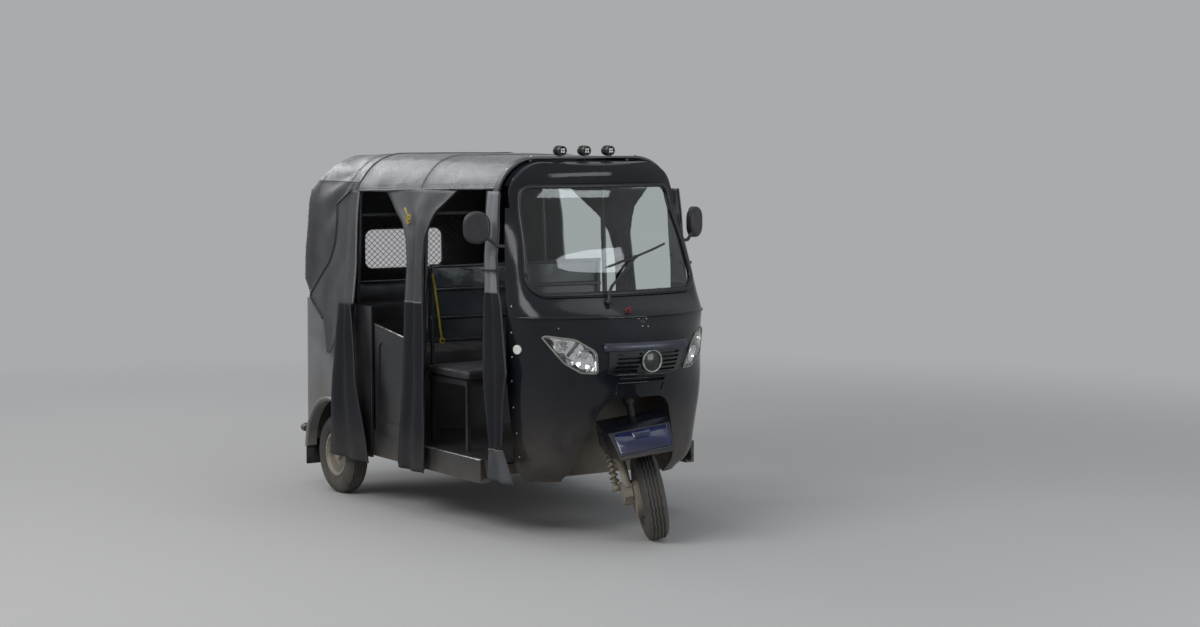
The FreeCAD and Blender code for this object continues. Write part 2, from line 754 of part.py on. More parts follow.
def canopy_window():
    points = ((-1400, -240, 1115), (-1400, 240, 1115), (-1400, 240, 1335), (-1400, -240, 1335))
    return Part.Face(rounded(points, (50, 50, 50, 50))).extrude(vec(200, 0, 0))


def canopy_frame():
    """Two hoops that stand on the floor and the seat board, with rails along the roof's shoulders."""
    tubes = []
    inset = canopy_sheet + tube_radius + seat_gap
    for x, foot_y, foot in pillars:
        _, top, height, radius = canopy_arch(x)
        top, height = top - inset, height - inset
        points = ((x, -foot_y, foot - 6), (x, -top, height), (x, top, height), (x, foot_y, foot - 6))
        hoop = bent_tube(points, tube_radius, radius - inset)
        tubes.append(hoop.cut(box(x - 40, x + 40, -700, 700, foot - 40, foot + seat_gap)))
    for sign in (-1, 1):
        places = []
        for x in (roof_rail_front, canopy_arches[1][0], roof_rail_rear):
            _, top, height, radius = canopy_arch(x)
            places.append((x, sign * (top - radius), height - canopy_sheet - roof_rail_radius - seat_gap))
        tubes += [cylinder(*ends, roof_rail_radius) for ends in zip(places, places[1:])]
    return fuse(tubes)


def hung_curtain(head, *rows):
    """A hanging curtain as one slab, from the roof's hem down through its rows, outside the rear canopy."""
    x, half, top_z = head
    hem = min(hem_height(x - half), top_z) - seat_gap
    ends = [(x + side, canopy_half(x + side, hem) + curtain_sheet / 2 - 2, hem) for side in (-half, half)]
    pairs = [ends] + [[(x - half, y, z), (x + half, y, z)] for x, half, y, z in rows]
    wires = []
    for (x0, y0, z0), (x1, y1, z1) in reversed(pairs):
        points = [vec(x0, -y0, z0), vec(x1, -y1, z1)]
        points += [vec(x1, -y1 + curtain_sheet, z1), vec(x0, -y0 + curtain_sheet, z0)]
        wires.append(Part.makePolygon(points + [points[0]]))
    behind = canopy_solid(-seat_gap).common(box(-1500, canopy_split_x + seat_gap, -900, 900, belt_z, 1900))
    return Part.makeLoft(wires, True, True).cut(behind)


def clamp_outline(grow):
    _, top, height, radius = canopy_arch(clamp_x0)
    belt = canopy_half(clamp_x0, clamp_low - 60)
    points = ((clamp_x0, -belt - grow, clamp_low - 60), (clamp_x0, belt + grow, clamp_low - 60),
              (clamp_x0, top + grow, height + grow), (clamp_x0, -top - grow, height + grow))
    outline = rounded(points, (5, 5, radius + grow, radius + grow))
    return Part.Face(outline).extrude(vec(clamp_x1 - clamp_x0, 0, 0))


def canopy_clamp():
    """Flat hoop that clamps the canopy's front edge down onto the cap."""
    return clamp_outline(9).cut(clamp_outline(seat_gap)).cut(box(400, 700, -700, 700, 800, clamp_low))


def roof_light(y):
    top = canopy_arch(clamp_x0)[2] + 9
    body = cylinder((clamp_x0 - 4, y, top + 26), (clamp_x1 + 8, y, top + 26), 22)
    stalk = box(clamp_x0 + 12, clamp_x0 + 30, y - 8, y + 8, top - 3, top + 20)
    return fuse([body, stalk])


# Steered pieces, built straight ahead and then turned to the parked angle

def steered(shape):
    point, up = steering_axis()
    turned = shape.copy()
    turned.rotate(point, up, -parked_steer)
    return turned


def spin_axis():
    point, up = steering_axis()
    return FreeCAD.Rotation(up, -parked_steer).multVec(Y_AXIS)


@functools.lru_cache(maxsize=None)
def hub_height():
    """Hub height before turning, set so that the turned wheel stands on the ground."""
    point, up = steering_axis()
    turn = FreeCAD.Rotation(up, -parked_steer)
    z = tyre_radius
    for _ in range(6):
        turned = turn.multVec(vec(front_axle_x, 0, z) - point) + point
        z += wheel_drop() - turned.z
    return z


def front_hub():
    return vec(front_axle_x, 0, hub_height())


def front_fork():
    hub = front_hub()
    low, high = on_axis(crown_z), on_axis(handlebar_z - 26)
    column = Part.makeCylinder(column_radius, (high - low).Length, low, steering_axis()[1])
    right = damper_y - damper_radius
    crown = box(low.x - 30, low.x + 30, right, 40, low.z - 22, low.z + crown_rise)
    leg = cylinder((low.x, fork_y, low.z - 12), (hub.x + 46, fork_y, hub.z + 62), 19)
    outline = ((-34, -34), (66, 28), (52, 84), (-40, 66), (-104, 62), (-104, 28))
    link = prism([(hub.x + a, fork_y - 22, hub.z + b) for a, b in outline], (0, 40, 0))
    axle = cylinder((hub.x, fork_y - 26, hub.z), (hub.x, fork_y + 36, hub.z), 22)
    brake = cylinder((hub.x, fork_y + 22, hub.z), (hub.x, fork_y + 64, hub.z), drum_radius)
    stub = cylinder((hub.x, fork_y + 50, hub.z), (hub.x, 21, hub.z), axle_radius)
    return fuse([column, crown, leg, link, axle, brake, stub])


def front_damper():
    """Spring over damper from the link up to the fork's crown."""
    hub = front_hub()
    crown = on_axis(crown_z)
    low, high = vec(hub.x - 84, damper_y, hub.z + 44), vec(crown.x - 10, damper_y, crown.z - 22 - seat_gap)
    run = high - low
    shares = [((i + 0.9) / 10, (i + 1.3) / 10) for i in range(8)]
    rings = [cylinder(low + run * a, low + run * b, damper_radius) for a, b in shares]
    eye = cylinder((low.x, damper_y - 14, low.z), (low.x, fork_y - 10, low.z), 15)
    rod = cylinder(tuple(low), tuple(high), 12).common(box(low.x - 300, low.x + 300, -300, 0, 0, high.z))
    return fuse([rod, eye, *rings])


def handlebar():
    top = on_axis(handlebar_z)
    x, z = top.x, top.z
    points = ((x - handlebar_sweep, -handlebar_half, z - 10), (x - 20, -120, z + 12),
              (x - 20, 120, z + 12), (x - handlebar_sweep, handlebar_half, z - 10))
    bar = bent_tube(points, grip_radius, 60)
    clamp = box(x - 36, x + 24, -45, 45, z - 17, z + 26)
    column = Part.makeCylinder(column_radius, 30, on_axis(handlebar_z - 26 + seat_gap), steering_axis()[1])
    return fuse([bar, clamp, column])


def mudguard():
    """Deep boxed mudguard that sits on the fork's crown, with a slanted blank front."""
    x = front_hub().x
    top = on_axis(crown_z).z + crown_rise + seat_gap + mudguard_sheet
    closed_side, closed_plan = mudguard_side + mudguard_side[:1], mudguard_plan + mudguard_plan[:1]
    side = Part.Face(Part.makePolygon([vec(x + a, -400, top - b) for a, b in closed_side]))
    plan = Part.Face(Part.makePolygon([vec(x + a, b, top - 400) for a, b in closed_plan]))
    solids = []
    for inset in (0, mudguard_sheet):
        across = (side.makeOffset2D(-inset) if inset else side).extrude(vec(0, 800, 0))
        solids.append(across.common((plan.makeOffset2D(-inset) if inset else plan).extrude(vec(0, 0, 800))))
    below = solids[1].copy()
    below.translate(vec(0, 0, -4 * mudguard_sheet))
    low, high = on_axis(400), on_axis(700)
    column = Part.makeCylinder(column_radius + seat_gap, (high - low).Length, low, steering_axis()[1])
    return solids[0].cut(solids[1]).cut(below).cut(column)


# Fittings

mirror_centre = (540, -600, 1412)
mirror_toe = 30.0


def mirror_outline(shrink):
    x, y, z = mirror_centre
    half_y, half_z, r = 62 - shrink, 74 - shrink, 58 - shrink
    points = [(x, y + a * half_y, z + b * half_z) for a, b in ((-1, -1), (1, -1), (1, 1), (-1, 1))]
    return Part.Face(rounded(points, [r] * 4))


def toed(shape):
    """The shape turned about the mirror's upright middle, so that it faces the driver."""
    turned = shape.copy()
    turned.rotate(vec(*mirror_centre), Z_AXIS, -mirror_toe)
    return turned


def mirror_housing():
    x, y, z = mirror_centre
    arm = bent_tube(((618, -480, 1325), (604, -530, 1330), (582, -572, 1366), (x + 14, y, z - 18)), 8, 12)
    head = mirror_outline(0).extrude(vec(34, 0, 0))
    head = head.makeFillet(16, [e for e in head.Edges if e.BoundBox.XMin > x + 33])
    return toed(head).fuse(arm).removeSplitter().cut(screen_solid(-seat_gap))


def mirror_glass():
    gap = mirror_outline(0).extrude(vec(-seat_gap, 0, 0))
    return toed(mirror_outline(4).extrude(vec(-3 - seat_gap, 0, 0)).cut(gap))


def wiper():
    arm = bent_tube(((890, -125, 1072), (868, -122, 1110), (822, -40, 1230), (812, -10, 1266)), 6, 10)
    pivot = cylinder((850, -125, 1040), (896, -125, 1076), 16)
    blade = cylinder((828, -98, 1216), (790, 130, 1290), 6)
    return fuse([arm, pivot, blade]).cut(screen_solid(-seat_gap)).cut(windscreen_seal())


def pieces():
    hub = tuple(front_hub())
    canopy = canopy_shell()
    clamp = canopy_clamp()
    yield "front_cowl", [front_cowl()]
    yield "windscreen_frame", [windscreen_frame()]
    yield "windscreen_glass", [windscreen_glass()]
    yield "windscreen_seal", [windscreen_seal()]
    yield "headlamp_lenses", pair(headlamp_lens())
    yield "headlamp_housings", pair(headlamp_housing())
    yield "grille", [grille()]
    yield "front_wheel_housing", [front_wheel_housing()]
    yield "side_markers", pair(side_marker())
    yield "floor_pan", [floor_pan()]
    yield "chassis_frame", [chassis_frame()]
    yield "rear_sides", pair(rear_side_right())
    yield "rear_panel", [rear_panel()]
    yield "engine_hatch", [engine_hatch()]
    yield "rear_lamps", pair(rear_lamp())
    yield "passenger_seat_base", [seat_base()]
    yield "passenger_seat_cushion", [cushion(-930, -470, 540, seat_board_z + seat_gap, 750, 30)]
    yield "passenger_backrest", [cushion(-1010, -930 - seat_gap, 540, seat_board_z + seat_gap, 1080, 30)]
    yield "driver_seat_frame", [driver_seat_frame()]
    yield "driver_seat_cushion", [cushion(-95, 290, 512, 679 + seat_gap, 735, 20)]
    yield "partition_bars", [partition_bars()]
    yield "partition_panel", [box(-135 - seat_gap, -120 - seat_gap, -500, 500, 838, 1190)]
    yield "side_guard_right", [side_guard()]
    yield "dashboard", [dashboard()]
    yield "screen_frame", [screen_frame()]
    yield "wire_screen", [wire_screen()]
    yield "canopy_roof", [canopy.common(box(canopy_split_x, 900, -900, 900, 900, 1900))]
    rear = canopy.common(box(-1500, canopy_split_x, -900, 900, 900, 1900))
    yield "canopy_rear", [rear.cut(canopy_window())]
    yield "canopy_frame", [canopy_frame()]
    yield "canopy_clamp", [clamp]
    yield "roof_lights", [roof_light(y).cut(clamp) for y in (-134, 0, 134)]
    yield "curtains", [shape for rows in curtain_shapes for shape in pair(hung_curtain(*rows))]
    yield "mirror_housings", pair(mirror_housing())
    yield "mirror_glasses", pair(mirror_glass())
    yield "wiper", [wiper()]
    yield "engine_block", [engine_block()]
    yield "silencer", [silencer()]
    yield "trailing_arms", pair(trailing_arm())
    yield "rear_dampers", pair(rear_damper().cut(trailing_arm()))
    yield "drive_shafts", pair(drive_shaft().cut(trailing_arm()))
    yield "rear_bumper", [rear_bumper()]
    yield "steering_fork", [steered(front_fork())]
    yield "front_damper", [steered(front_damper().cut(front_fork()))]
    yield "handlebar", [steered(handlebar())]
    yield "front_mudguard", [steered(mudguard())]
    yield "front_tyre", [steered(tyre(hub))]
    yield "front_rim", [steered(rim(hub, 30))]
    for side, sign in (("right", -1), ("left", 1)):
        centre = (rear_axle_x, sign * track / 2, tyre_radius)
        yield f"rear_tyre_{side}", [tyre(centre)]
        yield f"rear_rim_{side}", [rim(centre, sign * 36)]


def main():
    os.makedirs("parts", exist_ok=True)
    point, up = steering_axis()
    turned_hub = FreeCAD.Rotation(up, -parked_steer).multVec(front_hub() - point) + point
    print("steering point", point, "axis", up, "front spin axis", spin_axis(), "hub", turned_hub)
    for name, shapes in pieces():
        solids = [solid for shape in shapes for solid in shape.Solids]
        if not solids or not all(solid.isValid() for solid in solids):
            print("BAD", name, len(solids))
        shape = solids[0] if len(solids) == 1 else Part.makeCompound(solids)
        shape.exportStep(f"parts/{name}.step")
        b = shape.optimalBoundingBox(False, False)
        print(f"{name:24s} {len(solids)} {shape.Volume / 1e6:8.3f} l  x {b.XMin:8.1f} {b.XMax:8.1f}"
              f"  y {b.YMin:8.1f} {b.YMax:8.1f}  z {b.ZMin:8.1f} {b.ZMax:8.1f}")


main()
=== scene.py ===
"""Looks of the auto rickshaw: finishes, canopy, curtains, cushions, tread and small fittings.

Metres. X points forward, Y to the vehicle's left and Z up. The front wheel is parked turned to the right.
"""

import json
import math

import bpy
import bmesh
import numpy as np
from mathutils import Matrix, Vector, noise
from mathutils.bvhtree import BVHTree


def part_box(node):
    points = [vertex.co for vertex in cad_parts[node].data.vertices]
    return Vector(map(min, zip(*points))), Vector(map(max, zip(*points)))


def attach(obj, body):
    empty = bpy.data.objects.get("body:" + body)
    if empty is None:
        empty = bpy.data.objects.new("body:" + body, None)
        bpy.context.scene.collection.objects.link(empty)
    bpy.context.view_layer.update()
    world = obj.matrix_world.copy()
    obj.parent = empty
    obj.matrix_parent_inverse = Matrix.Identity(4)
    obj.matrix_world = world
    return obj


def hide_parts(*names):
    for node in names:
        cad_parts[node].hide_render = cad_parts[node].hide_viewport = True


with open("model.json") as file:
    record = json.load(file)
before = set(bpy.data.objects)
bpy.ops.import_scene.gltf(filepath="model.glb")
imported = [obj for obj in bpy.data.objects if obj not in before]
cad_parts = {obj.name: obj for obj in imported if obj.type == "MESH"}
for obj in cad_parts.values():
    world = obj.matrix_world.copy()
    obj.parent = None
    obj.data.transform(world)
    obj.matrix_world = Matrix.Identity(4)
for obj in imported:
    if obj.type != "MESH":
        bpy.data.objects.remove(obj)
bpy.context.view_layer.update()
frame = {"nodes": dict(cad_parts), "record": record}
cad = frame["nodes"]

# The two sides with the sign of Y on each, and the way ahead
sides = (("right", -1), ("left", 1))
ahead = Vector((1, 0, 0))

# Camera, from the photograph's perspective
camera_place = (9.018, -5.458, 1.820)
camera_yaw = math.radians(146.906)
camera_pitch = math.radians(-4.689)
camera_roll = math.radians(-0.0997)
camera_lens = 64.41

# Canopy. Arches: x, belt half width, top half width, top height, shoulder radius
canopy_arches = ((0.520, 0.500, 0.468, 1.723, 0.200), (-0.535, 0.602, 0.553, 1.739, 0.240),
                 (-1.300, 0.604, 0.550, 1.732, 0.250))
belt_z = 0.985
canopy_front = 0.518
canopy_split = -0.735
canopy_rear = -1.294
rear_edge_radius = 0.11
hem_front_z = 1.590
hem_rear_z = 1.555
sheet_thickness = 0.003
window_half = 0.24
window_low = 1.115
window_high = 1.335
window_corner = 0.05

# Hoops under the roof's cloth, and the upper corner from which the rear's pleats spread
hoop_places = (canopy_split, -0.11, 0.51)
gather_x, gather_z = -0.80, 1.66

# Curtains
curtain_thickness = 0.0025
piping_radius = 0.0055

# Wheels
tyre_radius = 0.200
tyre_half_width = 0.054
bead_radius = 0.106
rear_axle_x = -0.9
rear_wheel_y = 0.575

# Steering: its rake, a point on its axis, the axis, the parked turn, and the turned front hub
rake = math.radians(22)
steer_point = Vector((1.130, 0.0, 0.0))
steer_axis = Vector((-math.sin(rake), 0.0, math.cos(rake)))
steer_turn = Matrix.Rotation(math.radians(-28), 4, steer_axis)
steered = Matrix.Translation(steer_point) @ steer_turn @ Matrix.Translation(-steer_point)
front_hub = (1.0678041, -0.0094991, 0.2016312)
front_spin = steer_turn.to_3x3() @ Vector((0, 1, 0))
straight_hub = steered.inverted() @ Vector(front_hub)

# Headlamps. Outline: distance from the middle, height, corner radius. Bowls: the same two, radius, depth.
# Bar: the ends of the pale bar between the bowls
lamp_outline = ((0.446, 0.934, 0.010), (0.330, 0.916, 0.060), (0.256, 0.862, 0.040),
                (0.232, 0.762, 0.010), (0.300, 0.766, 0.040), (0.372, 0.812, 0.080))
lamp_bowls = ((0.300, 0.822, 0.040, 0.030), (0.388, 0.888, 0.026, 0.026))
lamp_bar = ((0.322, 0.908), (0.362, 0.842))

# Middle of the bare round badge
badge_x, badge_z = 1.073, 0.815

# Windscreen's seal: half widths at its foot and head, heights of the two
seal_bottom, seal_top, seal_low, seal_high = 0.464, 0.407, 1.109, 1.595

# Wiper: its pivot, and the two ends of its blade at Y and Z
wiper_pivot = (0.896, -0.125, 1.076)
wiper_blade = ((-0.053, 1.226), (0.295, 1.319))

# Roof lights: their front face, height and places across
spot_x, spot_z, spot_spacing = 0.534, 1.7582, 0.134

# Wires behind the rear window: their plane, half width, lowest and highest point, width and height of a mesh
screen_x, screen_half, screen_low, screen_high = -1.215, 0.4835, 1.0165, 1.4035
mesh_wide, mesh_tall = 0.034, 0.030

# Radius that closes the tip of a turned piece
tip = 0.0001

# Middle of the dial on the dashboard, and the outlet of the silencer with its direction
dial = (0.7748, 0.0, 1.0285)
outlet_end, outlet_axis = (-1.29005, -0.4, 0.20798), (-0.979457, 0, -0.201653)

# Colours
black_paint = (0.011, 0.012, 0.016)
dust_brown = (0.20, 0.165, 0.125)
dust_grey = (0.27, 0.235, 0.19)
silver_vinyl = (0.155, 0.16, 0.17)
curtain_grey = (0.074, 0.076, 0.081)
charcoal = (0.011, 0.012, 0.016)
backdrop = (0.40, 0.405, 0.415)
floor_colour = (0.47, 0.46, 0.445)


# Node materials, by name

looks = {}


class Finish:
    """One material: a Principled shader and the few nodes that drive it."""

    def __init__(self, name, colour, roughness, metallic=0.0, **sockets):
        self.name = name
        self.material = bpy.data.materials.new(name)
        self.material.use_nodes = True
        self.tree = self.material.node_tree
        self.shader = next(n for n in self.tree.nodes if n.type == "BSDF_PRINCIPLED")
        self.place = self.add("TexCoord").outputs["Object"]
        self.colour, self.roughness = (*colour, 1.0), roughness
        self.shader.inputs["Metallic"].default_value = metallic
        for key, value in sockets.items():
            self.shader.inputs[key.replace("_", " ")].default_value = value

    def add(self, kind, inputs=None, **settings):
        node = self.tree.nodes.new("ShaderNode" + kind)
        for key, value in settings.items():
            setattr(node, key, value)
        for key, value in (inputs or {}).items():
            if isinstance(value, bpy.types.NodeSocket):
                self.tree.links.new(value, node.inputs[key])
            else:
                node.inputs[key].default_value = value
        return node

    def noise(self, scale, detail=3.0, stretch=(1, 1, 1), rough=0.55):
        place = self.add("VectorMath", {0: self.place, 1: stretch}, operation="MULTIPLY").outputs[0]
        inputs = {"Vector": place, "Scale": scale, "Detail": detail, "Roughness": rough}
        return self.add("TexNoise", inputs).outputs[0]

    def span(self, value, low, high, out_low=0.0, out_high=1.0):
        """Value taken smoothly from low..high to out_low..out_high."""
        inputs = {0: value, 1: low, 2: high, 3: out_low, 4: out_high}
        return self.add("MapRange", inputs, interpolation_type="SMOOTHSTEP").outputs[0]

    def math(self, operation, a, b=0.0):
        return self.add("Math", {0: a, 1: b}, operation=operation).outputs[0]

    def along(self, axis, low, high, out_low=0.0, out_high=1.0):
        """Share that grows from low to high along an axis of the object."""
        return self.span(self.add("SeparateXYZ", {0: self.place}).outputs[axis], low, high, out_low, out_high)

    def mix(self, share, a, b):
        return self.add("Mix", {0: share, 6: a, 7: b}, data_type="RGBA").outputs[2]

    def vary(self, scale, amount, stretch=(1, 1, 1)):
        """Slow light and dark patches in the colour."""
        dark = (*(c * (1 - amount) for c in self.colour[:3]), 1.0)
        light = (*(min(1.0, c * (1 + amount)) for c in self.colour[:3]), 1.0)
        self.colour = self.mix(self.span(self.noise(scale, 4.0, stretch), 0.3, 0.7), dark, light)
        return self

    def dust(self, colour, top, bottom, amount, rough=0.8, scale=9.0):
        """Dust that thickens from the height top down to bottom."""
        patches = self.span(self.noise(scale, 6.0), 0.25, 0.62, 0.45, 1.0)
        share = self.math("MULTIPLY", self.along(2, bottom, top, amount, 0.0), patches)
        self.colour = self.mix(share, self.colour, (*colour, 1.0))
        inputs = {0: share, 2: self.roughness, 3: rough}
        self.roughness = self.add("Mix", inputs, data_type="FLOAT").outputs[0]
        return self

    def smudge(self, scale, low, high):
        """Roughness that changes from place to place."""
        self.roughness = self.span(self.noise(scale, 5.0), 0.3, 0.7, low, high)
        return self

    def bump(self, scale, distance, detail=3.0, stretch=(1, 1, 1), height=None):
        height = self.noise(scale, detail, stretch) if height is None else height
        inputs = {"Height": height, "Distance": distance, "Strength": 1.0}
        if self.shader.inputs["Normal"].is_linked:
            inputs["Normal"] = self.shader.inputs["Normal"].links[0].from_socket
        self.tree.links.new(self.add("Bump", inputs).outputs[0], self.shader.inputs["Normal"])
        return self

    def weave(self, scale, distance):
        inputs = {"Vector": self.place, "Scale": scale}
        wave = [self.add("TexWave", inputs, bands_direction=d).outputs[1] for d in "XYZ"]
        total = self.math("ADD", self.math("ADD", wave[0], wave[1]), wave[2])
        return self.bump(0, distance, height=total)

    def done(self):
        """Links the colour and roughness, and keeps the material in looks."""
        for socket, value in (("Base Color", self.colour), ("Roughness", self.roughness)):
            if isinstance(value, bpy.types.NodeSocket):
                self.tree.links.new(value, self.shader.inputs[socket])
            else:
                self.shader.inputs[socket].default_value = value
        looks[self.name] = self.material


def finishes():
    """Makes every material of the object, named after the record's slot or by a name of its own."""
    (Finish("body_black", black_paint, 0.10, Specular_IOR_Level=0.30, Coat_Weight=0.06, Coat_Roughness=0.04)
     .vary(2.5, 0.25).smudge(7.0, 0.07, 0.19).dust(dust_brown, 0.70, 0.22, 0.34, 0.6)
     .bump(5.0, 0.0014).done())
    (Finish("window_glass", (0.80, 0.88, 0.87), 0.03, Transmission_Weight=1.0, IOR=1.45)
     .smudge(4.0, 0.0, 0.05).done())
    Finish("seal_rubber", (0.012, 0.012, 0.013), 0.4).vary(30, 0.3).bump(300, 0.0002).done()
    (Finish("lamp_glass", (0.96, 0.97, 0.97), 0.02, Transmission_Weight=1.0, IOR=1.4)
     .smudge(12.0, 0.0, 0.08).done())
    Finish("lamp_reflector", (0.80, 0.81, 0.82), 0.12, 1.0).vary(20, 0.12).bump(38, 0.002, 1.0).done()
    (Finish("grille_grey", (0.010, 0.011, 0.014), 0.22, Coat_Weight=0.4)
     .vary(8, 0.3).smudge(14, 0.18, 0.34).bump(220, 0.0002).done())
    Finish("bar_grey", (0.045, 0.050, 0.068), 0.3, 0.3).vary(10, 0.2).smudge(20, 0.24, 0.4).done()
    Finish("badge_ring", (0.23, 0.27, 0.22), 0.35, 0.5).vary(60, 0.25).bump(300, 0.0002).done()
    (Finish("underbody", (0.035, 0.032, 0.03), 0.6)
     .vary(7, 0.35).dust(dust_brown, 0.75, 0.15, 0.85).bump(60, 0.0012).done())
    Finish("marker_white", (0.78, 0.78, 0.74), 0.2, Coat_Weight=0.5).vary(60, 0.08).done()
    (Finish("floor_grey", (0.022, 0.022, 0.024), 0.36)
     .vary(6, 0.3).dust(dust_brown, 0.40, 0.22, 0.30).bump(90, 0.0006).done())
    side = (Finish("panel_grey", (0.13, 0.135, 0.14), 0.38, Coat_Weight=0.15)
            .vary(3.5, 0.25).smudge(9, 0.3, 0.5).dust(dust_grey, 0.85, 0.2, 0.55).bump(7, 0.0015))
    side.colour = side.mix(side.along(0, -0.675, -0.665), side.colour, (0.014, 0.014, 0.016, 1))
    side.done()
    (Finish("panel_dark", (0.016, 0.017, 0.019), 0.25, Specular_IOR_Level=0.4)
     .vary(5, 0.3).dust(dust_brown, 0.6, 0.25, 0.12).bump(10, 0.0008).done())
    (Finish("panel_gloss", (0.045, 0.049, 0.058), 0.12, Coat_Weight=0.6)
     .vary(4, 0.3).smudge(8, 0.08, 0.25).bump(12, 0.0014).done())
    (Finish("seat_vinyl", (0.022, 0.022, 0.025), 0.38, Sheen_Weight=0.1)
     .vary(14, 0.25).smudge(22, 0.3, 0.5).bump(420, 0.0005, 2.0).done())
    (Finish("tube_black", (0.018, 0.018, 0.02), 0.35)
     .vary(20, 0.3).dust(dust_brown, 0.6, 0.2, 0.3).bump(150, 0.0002).done())
    Finish("trim_plastic", (0.02, 0.02, 0.022), 0.5).vary(30, 0.25).bump(600, 0.0002).done()
    Finish("mesh_steel", (0.06, 0.06, 0.058), 0.5, 0.6).vary(50, 0.3).bump(300, 0.0002).done()
    (Finish("canopy_vinyl", silver_vinyl, 0.30, 0.50, Coat_Weight=0.2, Coat_Roughness=0.15).vary(3.0, 0.16)
     .smudge(6.0, 0.20, 0.34).bump(9, 0.004, 3.0, (1, 1, 1.6)).weave(260, 0.0002).done())
    # Darker copy of the canopy vinyl. On the rear cloth below its seam it is a separate piece, darkened as
    # painted shade of the side in shadow. On the seams it is the darker piping.
    (Finish("canopy_side", (0.068, 0.069, 0.074), 0.34, 0.25).vary(3.5, 0.22)
     .smudge(6.0, 0.30, 0.46).bump(8, 0.006, 3.0, (1, 1, 0.5)).weave(260, 0.0002).done())
    Finish("liner_black", (0.016, 0.016, 0.017), 0.7).vary(12, 0.3).weave(300, 0.0002).done()
    Finish("stitch_pale", (0.20, 0.20, 0.205), 0.55).vary(90, 0.25).weave(900, 0.0002).done()
    (Finish("curtain_silver", (0.20, 0.205, 0.215), 0.34, 0.4).vary(9, 0.25, (1, 1, 0.3))
     .smudge(11, 0.26, 0.46).bump(22, 0.005, 2.0, (1, 1, 0.2)).weave(320, 0.0002).done())
    Finish("piping_black", (0.012, 0.012, 0.013), 0.4).vary(40, 0.3).bump(300, 0.0002).done()
    Finish("marker_dark", (0.02, 0.02, 0.021), 0.35).vary(40, 0.3).bump(400, 0.0001).done()
    (Finish("curtain_cloth", charcoal, 0.6, Specular_IOR_Level=0.25).vary(6, 0.25, (1, 1, 0.3))
     .dust((0.12, 0.11, 0.10), 0.5, 0.2, 0.3).bump(16, 0.003, 2.0, (1, 1, 0.15)).weave(320, 0.0002).done())
    (Finish("curtain_grey", curtain_grey, 0.4, 0.1, Specular_IOR_Level=0.4).vary(8, 0.25, (1, 1, 0.3))
     .smudge(9, 0.32, 0.5).bump(18, 0.003, 2.0, (1, 1, 0.15)).weave(320, 0.0002).done())
    Finish("mirror_face", (0.85, 0.87, 0.88), 0.03, 1.0).smudge(15, 0.02, 0.07).done()
    (Finish("engine_cast", (0.20, 0.19, 0.18), 0.5, 0.6)
     .vary(12, 0.3).dust(dust_brown, 0.6, 0.1, 0.7).bump(120, 0.0008).done())
    Finish("exhaust_steel", (0.20, 0.15, 0.115), 0.55, 0.6).vary(14, 0.4).bump(120, 0.0005).done()
    arm = (Finish("suspension_dusty", (0.20, 0.175, 0.14), 0.7)
           .vary(16, 0.35).dust((0.36, 0.31, 0.24), 0.7, 0.05, 0.6))
    arm.colour = arm.mix(arm.along(2, 0.44, 0.50), arm.colour, (0.012, 0.012, 0.013, 1))
    arm.bump(90, 0.0009).done()
    (Finish("mudguard_blue", (0.006, 0.007, 0.012), 0.22, Coat_Weight=0.2)
     .vary(5, 0.3).smudge(11, 0.18, 0.34).dust(dust_brown, 0.50, 0.36, 0.3).bump(12, 0.0008).done())
    (Finish("panel_blue", (0.011, 0.016, 0.058), 0.13, Coat_Weight=0.4)
     .vary(8, 0.3).smudge(14, 0.10, 0.24).dust(dust_brown, 0.47, 0.40, 0.3).bump(14, 0.0006).done())
    (Finish("tyre_rubber", (0.040, 0.038, 0.036), 0.75)
     .vary(14, 0.25).dust((0.17, 0.145, 0.115), 0.42, -0.1, 0.55, 0.85, 16).bump(240, 0.0006).done())
    (Finish("rim_steel", (0.27, 0.255, 0.225), 0.5, 0.3)
     .vary(18, 0.3).dust((0.36, 0.31, 0.25), 0.5, 0.0, 0.6).bump(80, 0.0006).done())
    Finish("bolt_steel", (0.5, 0.5, 0.48), 0.3, 0.9).vary(80, 0.2).done()
    Finish("lamp_red", (0.30, 0.012, 0.010), 0.15, Coat_Weight=0.5).vary(90, 0.2).bump(260, 0.0004).done()
    Finish("lamp_amber", (0.55, 0.17, 0.01), 0.15, Coat_Weight=0.5).vary(90, 0.2).bump(260, 0.0004).done()
    Finish("lamp_chrome", (0.86, 0.87, 0.88), 0.08, 1.0).vary(30, 0.06).done()
    Finish("lamp_rim", (0.20, 0.19, 0.165), 0.45).vary(30, 0.25).smudge(20, 0.35, 0.55).done()
    Finish("plate_blank", (0.62, 0.61, 0.57), 0.4).vary(12, 0.12).smudge(14, 0.3, 0.5).done()
    Finish("grip_rubber", (0.014, 0.014, 0.014), 0.7).vary(60, 0.3).bump(500, 0.0004).done()
    Finish("dial_face", (0.02, 0.02, 0.022), 0.3).vary(60, 0.2).done()
    Finish("trim_bright", (0.42, 0.42, 0.42), 0.3, 0.9).vary(20, 0.2).smudge(30, 0.22, 0.45).done()
    (Finish("arch_grey", (0.20, 0.205, 0.21), 0.3, Coat_Weight=0.2)
     .vary(5, 0.2).smudge(12, 0.25, 0.42).dust(dust_grey, 0.45, 0.2, 0.5).done())
    Finish("mesh_dark", (0.03, 0.03, 0.03), 0.5, 0.4).vary(80, 0.3).done()
    Finish("tie_yellow", (0.62, 0.42, 0.03), 0.7).vary(60, 0.2).weave(700, 0.0003).done()
    Finish("ribbon_red", (0.42, 0.02, 0.02), 0.6).vary(60, 0.25).weave(700, 0.0003).done()


def dress_cad():
    """Gives every CAD node the finish of its slot."""
    for row in frame["record"]["subparts"]:
        node = cad[row["node"]]
        node.data.materials.clear()
        node.data.materials.append(looks[row["material_slot"]])


# Mesh helpers

